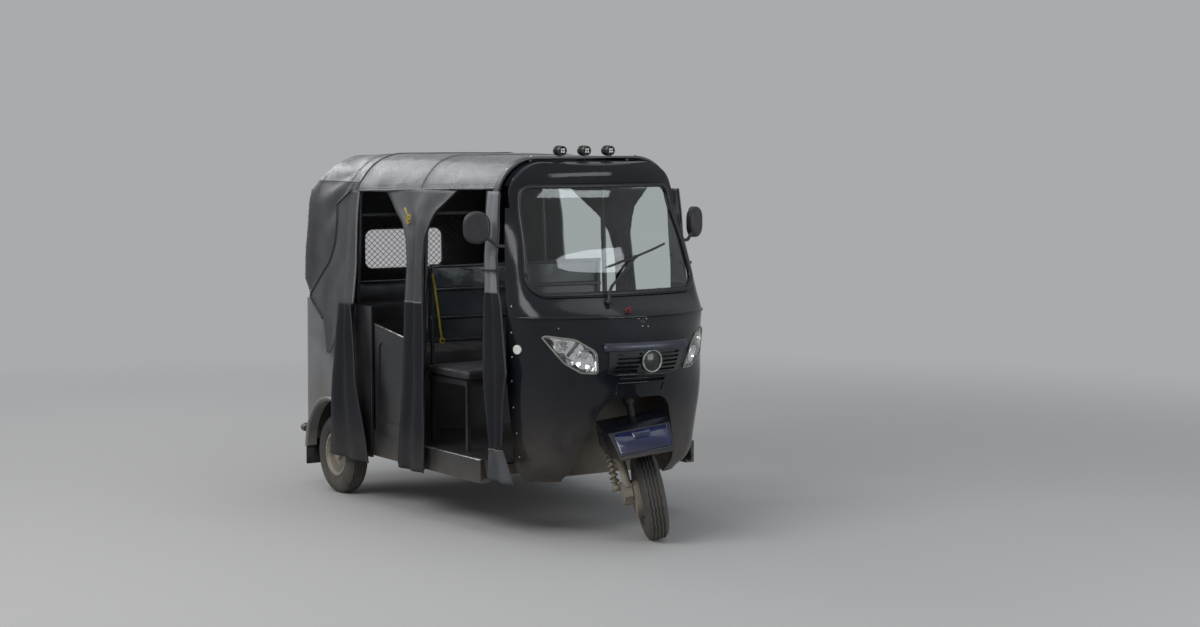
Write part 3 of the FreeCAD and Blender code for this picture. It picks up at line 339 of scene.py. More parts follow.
def piece(name, points, faces, finish, body="chassis", smooth=True, slot=None):
    """Visible piece that rides a body."""
    mesh = bpy.data.meshes.new(name)
    mesh.from_pydata([tuple(p) for p in points], [], faces)
    mesh.materials.append(looks[finish])
    mesh.polygons.foreach_set("use_smooth", [smooth] * len(mesh.polygons))
    mesh.update()
    obj = bpy.data.objects.new(name, mesh)
    bpy.context.scene.collection.objects.link(obj)
    if body:
        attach(obj, body)
    return obj


def grid_faces(rows, columns, wrap=False):
    """Faces between the rows of a grid of points, closed across its columns if wrap."""
    faces = []
    for i in range(rows - 1):
        for j in range(columns if wrap else columns - 1):
            a, b = i * columns + j, i * columns + (j + 1) % columns
            faces.append((a, b, b + columns, a + columns))
    return faces


def tube_mesh(points, radius, count=10):
    """Points and faces of a capped round tube along a path. radius is one number or one per point."""
    pts = [Vector(p) for p in points]
    radii = radius if hasattr(radius, "__len__") else [radius] * len(pts)
    out, side = [], None
    for i, p in enumerate(pts):
        run = (pts[min(i + 1, len(pts) - 1)] - pts[max(i - 1, 0)]).normalized()
        if side is None:
            side = run.orthogonal().normalized()
        side = (side - run * side.dot(run)).normalized()
        other = run.cross(side)
        for k in range(count):
            a = 2 * math.pi * k / count
            out.append(p + (side * math.cos(a) + other * math.sin(a)) * radii[i])
    faces = grid_faces(len(pts), count, wrap=True)
    faces.append(tuple(range(count))[::-1])
    faces.append(tuple(len(out) - count + k for k in range(count)))
    return out, faces


def tube(name, points, radius, finish, count=10, body="chassis"):
    """Round tube along a path. count is the number of its sides."""
    return piece(name, *tube_mesh(points, radius, count), finish, body)


def merged(parts):
    """Several (points, faces) as one."""
    points, faces = [], []
    for p, f in parts:
        start = len(points)
        points += list(p)
        faces += [tuple(start + i for i in face) for face in f]
    return points, faces


def turned(rings, closed=False):
    """Points and faces of outlines set round Y, evenly spaced. Their rows are (along Y, radius)."""
    points, faces = [], []
    n = len(rings[0])
    for i, ring in enumerate(rings):
        a = 2 * math.pi * i / len(rings)
        points += [(r * math.cos(a), y, r * math.sin(a)) for y, r in ring]
        here, after = i * n, (i + 1) % len(rings) * n
        for j in range(n if closed else n - 1):
            k = (j + 1) % n
            faces.append((here + j, here + k, after + k, after + j))
    return points, faces


def lathe(profile, segments=64):
    return turned([profile] * segments)


def wheel_matrix(centre, axis):
    """Place at a centre, with its own Y along the axis."""
    turn = Vector((0, 1, 0)).rotation_difference(Vector(axis))
    return Matrix.Translation(centre) @ turn.to_matrix().to_4x4()


def moved(mesh, matrix):
    """The mesh with its points moved."""
    return [matrix @ Vector(p) for p in mesh[0]], mesh[1]


def modified(obj, kind, **settings):
    """Adds a modifier and applies it."""
    modifier = obj.modifiers.new(kind.title(), kind)
    for key, value in settings.items():
        setattr(modifier, key, value)
    graph = bpy.context.evaluated_depsgraph_get()
    mesh = bpy.data.meshes.new_from_object(obj.evaluated_get(graph))
    obj.modifiers.clear()
    obj.data = mesh
    return obj


def block(name, low, high, finish, bevel=0.002, body="chassis", place=None):
    """Box with rounded edges between two corners."""
    bm = bmesh.new()
    bmesh.ops.create_cube(bm, size=1.0)
    low, high = Vector(low), Vector(high)
    for vertex in bm.verts:
        vertex.co = Vector((low[k] + high[k]) / 2 + vertex.co[k] * (high[k] - low[k]) for k in range(3))
    bmesh.ops.bevel(bm, geom=bm.edges[:], offset=bevel, segments=2, affect="EDGES")
    if place:
        bmesh.ops.transform(bm, matrix=place, verts=bm.verts)
    points = [v.co.copy() for v in bm.verts]
    faces = [tuple(v.index for v in f.verts) for f in bm.faces]
    bm.free()
    return piece(name, points, faces, finish, body)


def side_block(name, sign, xs, ys, zs, finish, bevel=0.001):
    """Box on one side of the vehicle, between pairs of values. ys counts outwards from the middle."""
    low, high = zip(sorted(xs), sorted(sign * y for y in ys), sorted(zs))
    return block(name, low, high, finish, bevel)


def rounded_loop(corners, steps=8):
    """Points of a closed outline in a plane, with each corner (a, b, radius) rounded."""
    points = []
    n = len(corners)
    for i, (a, b, r) in enumerate(corners):
        p = Vector((a, b))
        u = (Vector(corners[i - 1][:2]) - p).normalized()
        w = (Vector(corners[(i + 1) % n][:2]) - p).normalized()
        half = u.angle(w) / 2
        centre = p + (u + w).normalized() * (r / math.sin(half))
        start, end = p + u * (r / math.tan(half)) - centre, p + w * (r / math.tan(half)) - centre
        for k in range(steps + 1):
            share = k / steps
            points.append(tuple(centre + (start * (1 - share) + end * share).normalized() * r))
    return points


def rectangle(a, b, corner):
    """Corners of an upright rectangle of half sizes a and b, for rounded_loop."""
    return [(-a, -b, corner), (a, -b, corner), (a, b, corner), (-a, b, corner)]


def plate(name, loop, place, thick, finish, body, edge=0.001):
    """Thin plate over an outline, with a softened edge. place takes (a, b, height) to its place."""
    n = len(loop)
    ca, cb = sum(p[0] for p in loop) / n, sum(p[1] for p in loop) / n
    points = []
    for height, inset in ((-0.001, 0.0), (thick - edge, 0.0), (thick, edge)):
        for a, b in loop:
            reach = math.hypot(a - ca, b - cb)
            k = (reach - inset) / reach
            points.append(place @ Vector((ca + (a - ca) * k, cb + (b - cb) * k, height)))
    faces = grid_faces(3, n, wrap=True) + [tuple(range(2 * n, 3 * n)), tuple(range(n))[::-1]]
    return piece(name, points, faces, finish, body)


trees = {}
ray_start = 1.6


def surface(nodes, origin, direction):
    """Where a ray first meets the given CAD nodes, and the outward normal there."""
    best = None
    for node in nodes:
        if node not in trees:
            graph = bpy.context.evaluated_depsgraph_get()
            trees[node] = BVHTree.FromObject(cad[node], graph)
        hit, normal, _, distance = trees[node].ray_cast(Vector(origin), Vector(direction))
        if hit is not None and (best is None or distance < best[2]):
            best = (hit, normal, distance)
    return best


def from_ahead(nodes, y, z):
    """Where a ray from ahead first meets the given CAD nodes, and the outward normal there."""
    return surface(nodes, (ray_start, y, z), -ahead)


def on_front(y, z, lift, nodes):
    """Point on the front of the given nodes at y and z, lifted off them."""
    found = from_ahead(nodes, y, z)
    return found[0] + found[1] * lift if found else None


def strip_on_front(name, path, half, thick, finish, nodes):
    """Raised strip that follows a path of (y, z) over the front, with rounded edges."""
    section = ((-1, -0.2), (-1, 0.5), (-0.8, 0.9), (0.8, 0.9), (1, 0.5), (1, -0.2))
    points = []
    for i, (y, z) in enumerate(path):
        a, b = path[max(i - 1, 0)], path[min(i + 1, len(path) - 1)]
        along = Vector((0, b[0] - a[0], b[1] - a[1])).normalized()
        hit = from_ahead(nodes, y, z)
        if hit is None:
            continue
        side = hit[1].cross(along).normalized()
        points += [hit[0] + side * (half * s) + hit[1] * (thick * t) for s, t in section]
    n = len(section)
    faces = grid_faces(len(points) // n, n)
    faces += [tuple(range(n)), tuple(len(points) - 1 - i for i in range(n))]
    return piece(name, points, faces, finish)


# Canopy

def clamp(values):
    return np.clip(values, 0, 1)


def arch_at(x):
    rows = np.array(canopy_arches)[::-1]
    return [np.interp(x, rows[:, 0], rows[:, k]) for k in (1, 2, 3, 4)]


def canopy_level(p):
    """Under 1 inside the canopy's outer surface and over 1 outside."""
    x, y, z = p[:, 0], np.abs(p[:, 1]), p[:, 2]
    belt, top, height, radius = arch_at(x)
    lean = (belt - top) / (height - belt_z)
    side = (y - (belt - lean * (z - belt_z))) / np.sqrt(1 + lean ** 2)
    parts = ((side + radius) / radius, (z - height + radius) / radius,
             (canopy_rear - x + rear_edge_radius) / rear_edge_radius)
    return sum(np.maximum(q, 0) ** 2 for q in parts)


def canopy_section(x, lean):
    """One curve over the canopy in a plane that leans back by an angle, as evenly spaced fine points."""
    angles = np.radians(np.linspace(-72, 72, 420))
    origin = np.array((x, 0.0, 0.5))
    up = np.cos(angles)
    directions = np.stack((-math.sin(lean) * up, np.sin(angles), math.cos(lean) * up), 1)
    low, high = np.zeros(len(angles)), np.full(len(angles), 2.0)
    for _ in range(34):
        middle = (low + high) / 2
        inside = canopy_level(origin + directions * middle[:, None]) < 1
        low, high = np.where(inside, middle, low), np.where(inside, high, middle)
    return origin + directions * low[:, None]


def hem_height(x):
    return hem_rear_z + (hem_front_z - hem_rear_z) * (x - canopy_split) / (canopy_front - canopy_split)


def clipped(curve, floor, columns):
    """The part of a section above a height, in evenly spaced points. floor is a function of x."""
    above = curve[:, 2] >= np.array([floor(x) for x in curve[:, 0]])
    keep = np.nonzero(above)[0]
    a, b = keep[0], keep[-1]

    def crossing(inner, outer):
        f0 = inner[2] - floor(inner[0])
        f1 = outer[2] - floor(outer[0])
        return inner + (outer - inner) * (f0 / (f0 - f1))

    part = np.vstack((crossing(curve[a], curve[a - 1]), curve[a:b + 1], crossing(curve[b], curve[b + 1])))
    reach = np.concatenate(([0], np.cumsum(np.linalg.norm(np.diff(part, axis=0), axis=1))))
    even = np.linspace(0, reach[-1], columns)
    return np.stack([np.interp(even, reach, part[:, k]) for k in range(3)], 1)


def grid_normals(grid):
    normal = np.cross(np.gradient(grid, axis=1), np.gradient(grid, axis=0))
    return normal / np.linalg.norm(normal, axis=2, keepdims=True)


def fold_noise(grid, scale, seed):
    """Smooth noise at each point of a grid, with its own scale along X, Y and Z."""
    places = grid * np.array(scale) + (seed, 0, 0)
    return np.array([[noise.noise(Vector(p)) for p in row] for row in places])


def sheet_from(name, grid, finish):
    """Thin cloth from a grid of points, its outer side where the grid is."""
    rows, columns = grid.shape[:2]
    obj = piece(name, grid.reshape(-1, 3), grid_faces(rows, columns), finish, None)
    modified(obj, "SOLIDIFY", thickness=sheet_thickness, offset=1.0)
    obj.data.polygons.foreach_set("use_smooth", [True] * len(obj.data.polygons))
    return obj


def grid_size(grid):
    """Greatest width and length of a grid of points, and its area."""
    width = np.linalg.norm(np.diff(grid, axis=1), axis=2).sum(1)
    length = np.linalg.norm(np.diff(grid, axis=0), axis=2).sum(0)
    a, b, c, d = grid[:-1, :-1], grid[1:, :-1], grid[:-1, 1:], grid[1:, 1:]
    halves = np.linalg.norm(np.cross(b - a, c - a), axis=2) + np.linalg.norm(np.cross(b - d, c - d), axis=2)
    return float(width.max()), float(length.max()), float(halves.sum() / 2)


def split_at(obj, heights):
    """Cuts the mesh's faces along level lines, so that finishes meet in a clean edge."""
    bm = bmesh.new()
    bm.from_mesh(obj.data)
    for z in heights:
        everything = bm.verts[:] + bm.edges[:] + bm.faces[:]
        bmesh.ops.bisect_plane(bm, geom=everything, plane_co=(0, 0, z), plane_no=(0, 0, 1))
    bm.to_mesh(obj.data)
    bm.free()


def dress_canopy(obj, side_height):
    """Lining on the faces that look into the cabin, and below a height a darker copy of the vinyl, painted
    shade for the side in shadow.
    """
    split_at(obj, [side_height])
    for finish in ("canopy_side", "liner_black"):
        obj.data.materials.append(looks[finish])
    for polygon in obj.data.polygons:
        middle = Vector((min(0.4, max(-1.0, polygon.center.x)), 0, 1.25))
        inner = polygon.normal.dot(polygon.center - middle) < 0
        polygon.material_index = 2 if inner else int(polygon.center.z < side_height)


def stitches(name, path, finish="stitch_pale", pitch=0.011, length=0.006, radius=0.0013):
    """A row of stitches along a path."""
    pts = np.array([tuple(p) for p in path])
    reach = np.concatenate(([0], np.cumsum(np.linalg.norm(np.diff(pts, axis=0), axis=1))))
    dashes = []
    for start in np.arange(pitch / 2, reach[-1] - length, pitch):
        ends = [[np.interp(t, reach, pts[:, k]) for k in range(3)] for t in (start, start + length)]
        dashes.append(tube_mesh(ends, radius, 5))
    return piece(name, *merged(dashes), finish)


def declare_cloth(obj, grid):
    """Rides the body, and works out the cloth's flat size without keeping it."""
    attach(obj, "chassis")
    width, length, area = grid_size(grid)
    area = min(max(area, 0.31 * width * length), width * length)


def roof_sheet():
    """Cloth over the front hoops, slack between them and rumpled near its hems. Returns its grid."""
    xs = np.linspace(canopy_front, canopy_split, 76)
    grid = np.stack([clipped(canopy_section(x, 0.0), hem_height, 121) for x in xs])
    normal = grid_normals(grid)
    x, y, z = grid[:, :, 0], grid[:, :, 1], grid[:, :, 2]
    slack = sum(np.sin(np.pi * clamp((x - a) / (b - a))) ** 2 for a, b in zip(hoop_places, hoop_places[1:]))
    sag = -0.016 * clamp(1 - (y / 0.30) ** 2) * slack
    low = clamp((1.68 - z) / 0.1)
    folds = 0.006 * low * fold_noise(grid, (9, 3, 14), 2.0) + 0.002 * fold_noise(grid, (7, 7, 5), 8.0)
    grid = grid + normal * (sag + folds - 0.001)[:, :, None]
    obj = sheet_from("canopy_roof_cloth", grid, "canopy_vinyl")
    dress_canopy(obj, 1.3)
    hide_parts("canopy_roof")
    declare_cloth(obj, grid)
    return grid


def rear_sheet():
    """Cloth over the rear hoops in sections that fan back from the joint, pulled at the corners."""
    pivot_z = -0.2
    top_lean = math.atan((canopy_split - canopy_rear) / (belt_z - pivot_z))
    rows = []
    for lean in top_lean * np.linspace(0, 0.998, 84):
        section = canopy_section(canopy_split - (0.5 - pivot_z) * math.tan(lean), lean)
        rows.append(clipped(section, lambda x: belt_z, 141))
    grid = np.stack(rows)
    normal = grid_normals(grid)
    x, y, z = grid[:, :, 0], np.abs(grid[:, :, 1]), grid[:, :, 2]
    away = clamp((canopy_split - x) / 0.1)
    folds = 0.010 * away * fold_noise(grid, (4, 3, 2.2), 5.0) + 0.003 * fold_noise(grid, (11, 9, 5), 1.0)
    from_corner = np.hypot(x - gather_x, z - gather_z)
    slope = np.arctan2(gather_z - z, gather_x - x)
    pulled = np.exp(-((from_corner - 0.24) / 0.17) ** 2) * clamp((y - 0.34) / 0.16)
    folds += 0.009 * pulled * np.sin(11 * slope + 6 * from_corner)
    corner = clamp(1 - np.abs(np.abs(normal[:, :, 0]) - np.abs(normal[:, :, 1])) / 0.8)
    corner *= clamp((-1.02 - x) / 0.12)
    folds += 0.044 * corner * clamp((z - belt_z) / 0.10) * clamp((gather_z - z) / 0.12)
    bulge = np.sin(np.pi * clamp((z - belt_z) / 0.75))
    folds += 0.014 * bulge * clamp((-1.05 - x) / 0.2) * clamp(1 - (y / 0.62) ** 2)
    grid = grid + normal * (folds - 0.004 * away)[:, :, None]
    obj = sheet_from("canopy_rear_cloth", grid, "canopy_vinyl")
    # Below the seam at 1.60 the rear cloth takes the darker vinyl, painted shade of its side.
    dress_canopy(obj, 1.60)
    rear_seams(obj, grid)
    cut_window(obj)
    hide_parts("canopy_rear")
    declare_cloth(obj, grid)


def cut_window(obj):
    """Rear window in the cloth, with piping round it."""
    middle = (window_low + window_high) / 2
    corners = rectangle(window_half, (window_high - window_low) / 2, window_corner)
    outline = rounded_loop([(y, z + middle, r) for y, z, r in corners])
    n = len(outline)
    points = [(x, y, z) for x in (-1.40, -1.2) for y, z in outline]
    faces = grid_faces(2, n, wrap=True) + [tuple(range(n))[::-1], tuple(range(n, 2 * n))]
    tree = BVHTree.FromObject(obj, bpy.context.evaluated_depsgraph_get())
    rim = [tree.ray_cast(Vector((-ray_start, y, z)), ahead)[0] for y, z in outline]
    cutter = piece("cutter", points, faces, "piping_black", None)
    modified(obj, "BOOLEAN", operation="DIFFERENCE", object=cutter, solver="EXACT")
    bpy.data.objects.remove(cutter)
    tube("window_piping", rim + rim[:1], 0.007, "piping_black", 8)


def round_rear(obj, z, lift, turn=math.pi / 2):
    """Path round the rear canopy at one height, on its cloth, from one side to the other."""
    tree = BVHTree.FromObject(obj, bpy.context.evaluated_depsgraph_get())
    path = []
    for a in np.linspace(math.pi - turn, math.pi + turn, 150):
        way = Vector((math.cos(a), math.sin(a), 0))
        hit = tree.ray_cast(Vector((canopy_split - 0.004, 0, z)) + way * 1.5, -way)[0]
        if hit:
            path.append(hit + way * lift)
    return path


def rear_seams(obj, grid):
    """Hem, seams and stitches round the rear cloth, and its seam over the top."""
    seam("rear_hem", round_rear(obj, belt_z + 0.006, 0.001), "canopy_side", 0.006)
    seam("rear_seam_low", round_rear(obj, belt_z + 0.042, 0.0), "stitch_pale", 0.0026)
    stitches("rear_stitch_low", round_rear(obj, belt_z + 0.034, 0.001))
    seam("rear_seam_high", round_rear(obj, 1.598, 0.0), "stitch_pale", 0.0026)
    stitches("rear_stitch_high", round_rear(obj, 1.589, 0.001))
    middle = grid.shape[1] // 2
    row = grid[int(np.argmin(np.abs(grid[:, middle, 0] + 0.85)))]
    seam("rear_seam_over", row[row[:, 2] > 1.57] + (0, 0, 0.001), "canopy_side", 0.004)


def seam(name, path, finish="piping_black", radius=0.004):
    """Piping along a path of points."""
    return tube(name, path, radius, finish, 8)


def roof_seams(grid):
    """Seams over the roof at the hoop and the joint, and the rolled hems along both sides."""
    over = ((-0.13, "canopy_side", 0.004), (-0.142, "stitch_pale", 0.002),
            (canopy_split + 0.004, "canopy_side", 0.006))
    for i, (x, finish, radius) in enumerate(over):
        row = grid[int(np.argmin(np.abs(grid[:, 0, 0] - x)))]
        seam(f"roof_seam_{i}", row + (0, 0, 0.002), finish, radius)
    for (side, sign), column, inner in zip(sides, (0, -1), (3, -4)):
        hem = grid[:, column]
        seam(f"hem_{side}", hem, "canopy_vinyl", 0.0065)
        stitches(f"hem_stitch_{side}", hem + (grid[:, inner] - hem) * 0.9 + (0, sign * 0.003, 0))


# Curtains

def curtain(name, sign, rows, bands, pleat, waves, edges):
    """Hanging cloth. Rows are (height, x of its rear edge, x of its front edge, distance from the middle),
    bands are (lower end, finish), edges are (0 rear or 1 front, lower end, piping's radius, finish)."""
    rows = np.array(sorted(rows))
    zs = np.linspace(rows[-1, 0], rows[0, 0], 84)
    u = np.linspace(0, 1, 41)
    grid = np.zeros((len(zs), len(u), 3))
    for i, z in enumerate(zs):
        rear, front, y = [np.interp(z, rows[:, 0], rows[:, k]) for k in (1, 2, 3)]
        free = min(1.0, (rows[-1, 0] - z) / 0.15 + 0.2)
        drift = 0.25 * noise.noise(Vector((y * 40, z * 2.2, waves)))
        depth = pleat * free * np.sin(2 * math.pi * (waves * u + drift))
        depth += 0.005 * free * np.array([noise.noise(Vector((s * 3, z * 4, waves * 9 + pleat))) for s in u])
        grid[i] = np.stack((rear + (front - rear) * u, sign * (y + depth), np.full(len(u), z)), 1)
    outward = grid[:, ::-1] if sign > 0 else grid
    lows = [low for low, _ in bands[:-1]]
    obj = piece(name, outward.reshape(-1, 3), grid_faces(*grid.shape[:2]), bands[0][1], None)
    split_at(obj, lows)
    for _, finish in bands[1:]:
        obj.data.materials.append(looks[finish])
    for polygon in obj.data.polygons:
        polygon.material_index = sum(polygon.center.z < low for low in lows)
    modified(obj, "SOLIDIFY", thickness=curtain_thickness, offset=0.0)
    obj.data.polygons.foreach_set("use_smooth", [True] * len(obj.data.polygons))
    declare_cloth(obj, outward)
    for k, low in enumerate(lows):
        line = grid[int(np.argmin(np.abs(zs - low)))] + (0, sign * 0.002, 0)
        tube(f"{name}_seam_{k}", line, 0.003, "stitch_pale", 6)
    for k, (edge, low, radius, finish) in enumerate(edges):
        tube(f"{name}_edge_{k}", grid[zs >= low, -1 if edge else 0], radius, finish, 8)
    return obj


# Place, sides, rows, bands, pleat depth, number of pleats, edges
curtain_shapes = (
    ("front", (-1,),
     ((1.575, 0.46, 0.57, 0.495), (1.22, 0.50, 0.605, 0.535), (1.12, 0.505, 0.617, 0.54),
      (1.08, 0.498, 0.642, 0.545), (0.76, 0.546, 0.744, 0.565), (0.42, 0.60, 0.70, 0.575),
      (0.262, 0.56, 0.80, 0.575)),
     ((1.12, "curtain_silver"), (0.40, "curtain_cloth"), (0, "curtain_grey")), 0.009, 2.0,
     ((1, 0.42, piping_radius, "piping_black"), (0, 0.42, piping_radius, "piping_black"))),
    ("middle", (-1, 1),
     ((1.572, -0.47, 0.24, 0.535), (1.475, -0.32, 0.09, 0.556), (1.417, -0.23, 0.05, 0.572),
      (1.338, -0.165, 0.015, 0.586), (1.224, -0.13, 0.02, 0.600), (1.0, -0.137, 0.04, 0.615),
      (0.6, -0.14, 0.07, 0.63), (0.228, -0.17, 0.085, 0.64)),
     ((1.03, "curtain_grey"), (0, "curtain_cloth")), 0.008, 2.0,
     ((0, 0.23, piping_radius, "piping_black"), (1, 0.23, piping_radius, "piping_black"))),
    ("flap", (-1, 1),
     ((1.553, -0.75, -0.665, 0.588), (1.485, -0.885, -0.66, 0.596), (1.40, -0.875, -0.655, 0.605),
      (1.29, -0.885, -0.655, 0.613), (1.197, -0.93, -0.65, 0.620), (1.023, -1.125, -0.65, 0.632),
      (1.0, -1.137, -0.65, 0.634), (0.97, -1.10, -0.66, 0.635), (0.904, -0.99, -0.72, 0.638),
      (0.827, -0.96, -0.80, 0.641), (0.723, -0.935, -0.90, 0.645)),
     ((0, "curtain_grey"),), 0.004, 1.5,
     ((0, 0.89, 0.0085, "piping_black"), (1, 0.99, piping_radius, "stitch_pale"))),
    ("rear", (-1, 1),
     ((0.99, -0.785, -0.655, 0.650), (0.62, -0.82, -0.56, 0.672), (0.215, -0.86, -0.44, 0.672)),
     ((0, "curtain_cloth"),), 0.009, 2.0, ((1, 0.215, piping_radius, "piping_black"),)),
    ("front", (1,),
     ((1.575, 0.46, 0.57, 0.495), (1.22, 0.48, 0.60, 0.515), (0.76, 0.47, 0.63, 0.525),
      (0.262, 0.45, 0.64, 0.53)),
     ((1.12, "curtain_silver"), (0, "curtain_cloth")), 0.010, 2.0,
     ((1, 0.27, piping_radius, "piping_black"),)),
)
# Yellow tie on the middle curtains: x and height along its knot
tie_knot = ((-0.197, 1.482), (-0.177, 1.462), (-0.162, 1.44), (-0.150, 1.425), (-0.135, 1.433),
            (-0.144, 1.45), (-0.162, 1.447), (-0.170, 1.425), (-0.162, 1.41), (-0.142, 1.411))


def curtains():
    """Every curtain, the straps round the front ones and the ties on the middle ones."""
    for place, signs, *shape in curtain_shapes:
        for sign in signs:
            side = "left" if sign > 0 else "right"
            curtain(f"curtain_{place}_{side}", sign, *shape)
    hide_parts("curtains")
    for side, sign in sides:
        outline = rounded_loop(rectangle(0.062, 0.016, 0.012), 5)
        ring = [(0.552 + a, sign * (0.535 + b)) for a, b in outline]
        points = [(x, y, z) for z in (1.214, 1.226) for x, y in ring]
        band = piece(f"strap_{side}", points, grid_faces(2, len(ring), wrap=True), "piping_black")
        modified(band, "SOLIDIFY", thickness=0.002, offset=0.0)
        path = [(x, sign * (0.577 + 0.06 * (1.482 - z)), z) for x, z in tie_knot]
        tube(f"tie_{side}", path, 0.0040, "tie_yellow", 6)


# Cushions

def cushion(name, node, crown, axis, channels):
    """Crowned cushion in a node's box. It swells along axis. channels are the places of the sewn ones,
    from -1 to 1 across it."""
    low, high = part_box(node)
    centre, half = (low + high) / 2, (high - low) / 2
    counts = [max(6, int(h * 2 / 0.018)) for h in half]
    bm = bmesh.new()
    bmesh.ops.create_cube(bm, size=2.0)
    for k in range(3):
        edges = [e for e in bm.edges if abs((e.verts[0].co - e.verts[1].co)[k]) > 1.9]
        bmesh.ops.subdivide_edges(bm, edges=edges, cuts=counts[k], use_grid_fill=True)
    others = [k for k in range(3) if k != axis]
    for vertex in bm.verts:
        u = Vector(vertex.co)
        q = Vector(u)
        a, b = u[others[0]], u[others[1]]
        dome = max(0.0, (1 - a ** 4) * (1 - b ** 4)) ** 0.5
        groove = sum(math.exp(-((b - c) / 0.03) ** 2) for c in channels)
        if u[axis] > 0:
            q[axis] = u[axis] * (1 - crown * (1 - dome)) - 0.16 * groove * dome * (u[axis] > 0.95)
        for k in others:
            q[k] = u[k] * (1 + 0.012 * (1 - u[axis] ** 2)) * (1 - 0.02 * abs(u[axis]) ** 3)
        vertex.co = Vector(centre[k] + q[k] * half[k] * 0.985 for k in range(3))
    mesh = bpy.data.meshes.new(name)
    bm.to_mesh(mesh)
    bm.free()
    mesh.materials.append(looks["seat_vinyl"])
    obj = bpy.data.objects.new(name, mesh)
    bpy.context.scene.collection.objects.link(obj)
    modified(obj, "SUBSURF", levels=1)
    obj.data.polygons.foreach_set("use_smooth", [True] * len(obj.data.polygons))
    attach(obj, "chassis")
    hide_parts(node)
    return obj


def cushions():
    cushion("driver_pad", "driver_seat_cushion", 0.28, 2, (0.0,))
    cushion("passenger_pad", "passenger_seat_cushion", 0.25, 2, (-0.66, -0.33, 0.0, 0.33, 0.66))
    cushion("passenger_back_pad", "passenger_backrest", 0.35, 0, (-0.5, 0.0, 0.5))


# Front fittings

def mirrored(points):
    """Points on the other side of the vehicle."""
    return [Vector((p[0], -p[1], p[2])) for p in points]


def ring_path(centre, axis, radius, steps=48):
    """Closed ring of points round an axis."""
    place = wheel_matrix(centre, axis)
    angles = [2 * math.pi * i / steps for i in range(steps + 1)]
    return [place @ Vector((radius * math.cos(a), 0, radius * math.sin(a))) for a in angles]


def disc(name, centre, axis, profile, finish, body="chassis", segments=32):
    """Turned piece at a place, its own Y along the axis. Profile rows are (along the axis, radius)."""
    return piece(name, *moved(lathe(profile, segments), wheel_matrix(centre, axis)), finish, body)


def headlamps():
    """Rim, chrome bowls, bulbs and the pale bar behind each lens."""
    nodes = ("front_cowl", "headlamp_lenses")
    rim = [on_front(-y, z, 0.001, nodes) for y, z in rounded_loop(lamp_outline, 10)]
    rim = [p for p in rim if p is not None]
    bulb = ((0.0, tip), (0.001, 0.006), (0.010, 0.007), (0.016, 0.005), (0.018, tip))
    for side, sign in sides:
        path = rim if sign < 0 else mirrored(rim)
        tube(f"lamp_rim_{side}", path + path[:1], 0.0045, "lamp_rim", 8)
        for k, (y, z, r, depth) in enumerate(lamp_bowls):
            hit, normal, _ = from_ahead(("headlamp_lenses",), sign * y, z)
            base = hit - normal * depth
            bowl = ((0.0, 0.002), (0.002, 0.3 * r), (0.007, 0.6 * r), (0.015, 0.88 * r), (0.021, r),
                    (0.022, r + 0.002), (0.019, r + 0.002))
            disc(f"lamp_bowl_{side}_{k}", base, normal, bowl, "lamp_chrome")
            disc(f"lamp_bulb_{side}_{k}", base + normal * 0.001, normal, bulb, "marker_white", segments=16)
        ends = [on_front(sign * y, z, -0.010, ("headlamp_lenses",)) for y, z in lamp_bar]
        tube(f"lamp_bar_{side}", ends, 0.0075, "lamp_rim", 8)


def nose():
    """Beads, grille hood, blank badge ring, lip under the slot, and small fixings."""
    both, hood = ("front_cowl", "windscreen_frame"), ("front_cowl", "grille")
    turns = np.sin(np.linspace(-math.pi / 2, math.pi / 2, 90))
    strip_on_front("nose_bead", [(0.517 * t, 1.010) for t in turns], 0.006, 0.006, "body_black", both)
    for name, z, reach, count, half, thick, finish, nodes in (
            ("grille_hood", 0.882, 0.222, 30, 0.019, 0.016, "bar_grey", hood),
            ("grille_foot", 0.752, 0.150, 20, 0.005, 0.005, "grille_grey", hood),
            ("slot_lip", 0.712, 0.128, 24, 0.005, 0.007, "body_black", both),
            ("slot_brow", 0.733, 0.128, 24, 0.004, 0.005, "body_black", both)):
        strip_on_front(name, [(y, z) for y in np.linspace(-reach, reach, count)], half, thick, finish, nodes)
    for y in (-0.127, 0.127):
        post = [(y, z) for z in np.linspace(0.735, 0.66, 6)]
        strip_on_front(f"slot_post_{y}", post, 0.004, 0.005, "body_black", both)
    tube("badge_ring", ring_path((badge_x + 0.0015, 0, badge_z), ahead, 0.049), 0.005, "badge_ring")
    badge = ((0.0, 0.046), (0.0022, 0.044), (0.003, tip))
    disc("badge_disc", (badge_x, 0, badge_z), ahead, badge, "grille_grey")
    patch = ((-0.004, 0.016), (0.002, 0.015), (0.003, tip))
    disc("nose_patch", on_front(0.005, 0.985, 0.0, both), (1, 0, 0.1), patch, "seal_rubber")
    places = ((-0.016, 1.0), (0.026, 0.998), (-0.012, 0.968), (0.018, 0.966), (-0.38, 0.966))
    for i, (y, z) in enumerate(places):
        stud(f"nose_stud_{i}", on_front(y, z, 0.0, both), (1, 0, 0.1), 0.0035)
    ribbons(on_front(-0.055, 1.028, 0.004, both))


def ribbons(bow):
    """Three red loops of ribbon from one place."""
    shape = ((0, 0), (0.5, 0.006), (1, 0.005), (1.1, 0), (1, -0.005), (0.5, -0.006), (0, 0))
    for i, (reach, lean) in enumerate(((0.024, 0.5), (0.020, -0.6), (0.018, 2.4))):
        way = Vector((0.15, math.sin(lean), math.cos(lean)))
        side = Vector((0, math.cos(lean), -math.sin(lean)))
        loop = [bow + way * reach * a + side * b for a, b in shape]
        ribbon = [q + Vector((0.004 * t, 0, 0)) for t in (-1, 1) for q in loop]
        flat = piece(f"bow_{i}", ribbon, grid_faces(2, len(loop)), "ribbon_red")
        modified(flat, "SOLIDIFY", thickness=0.001, offset=0.0)


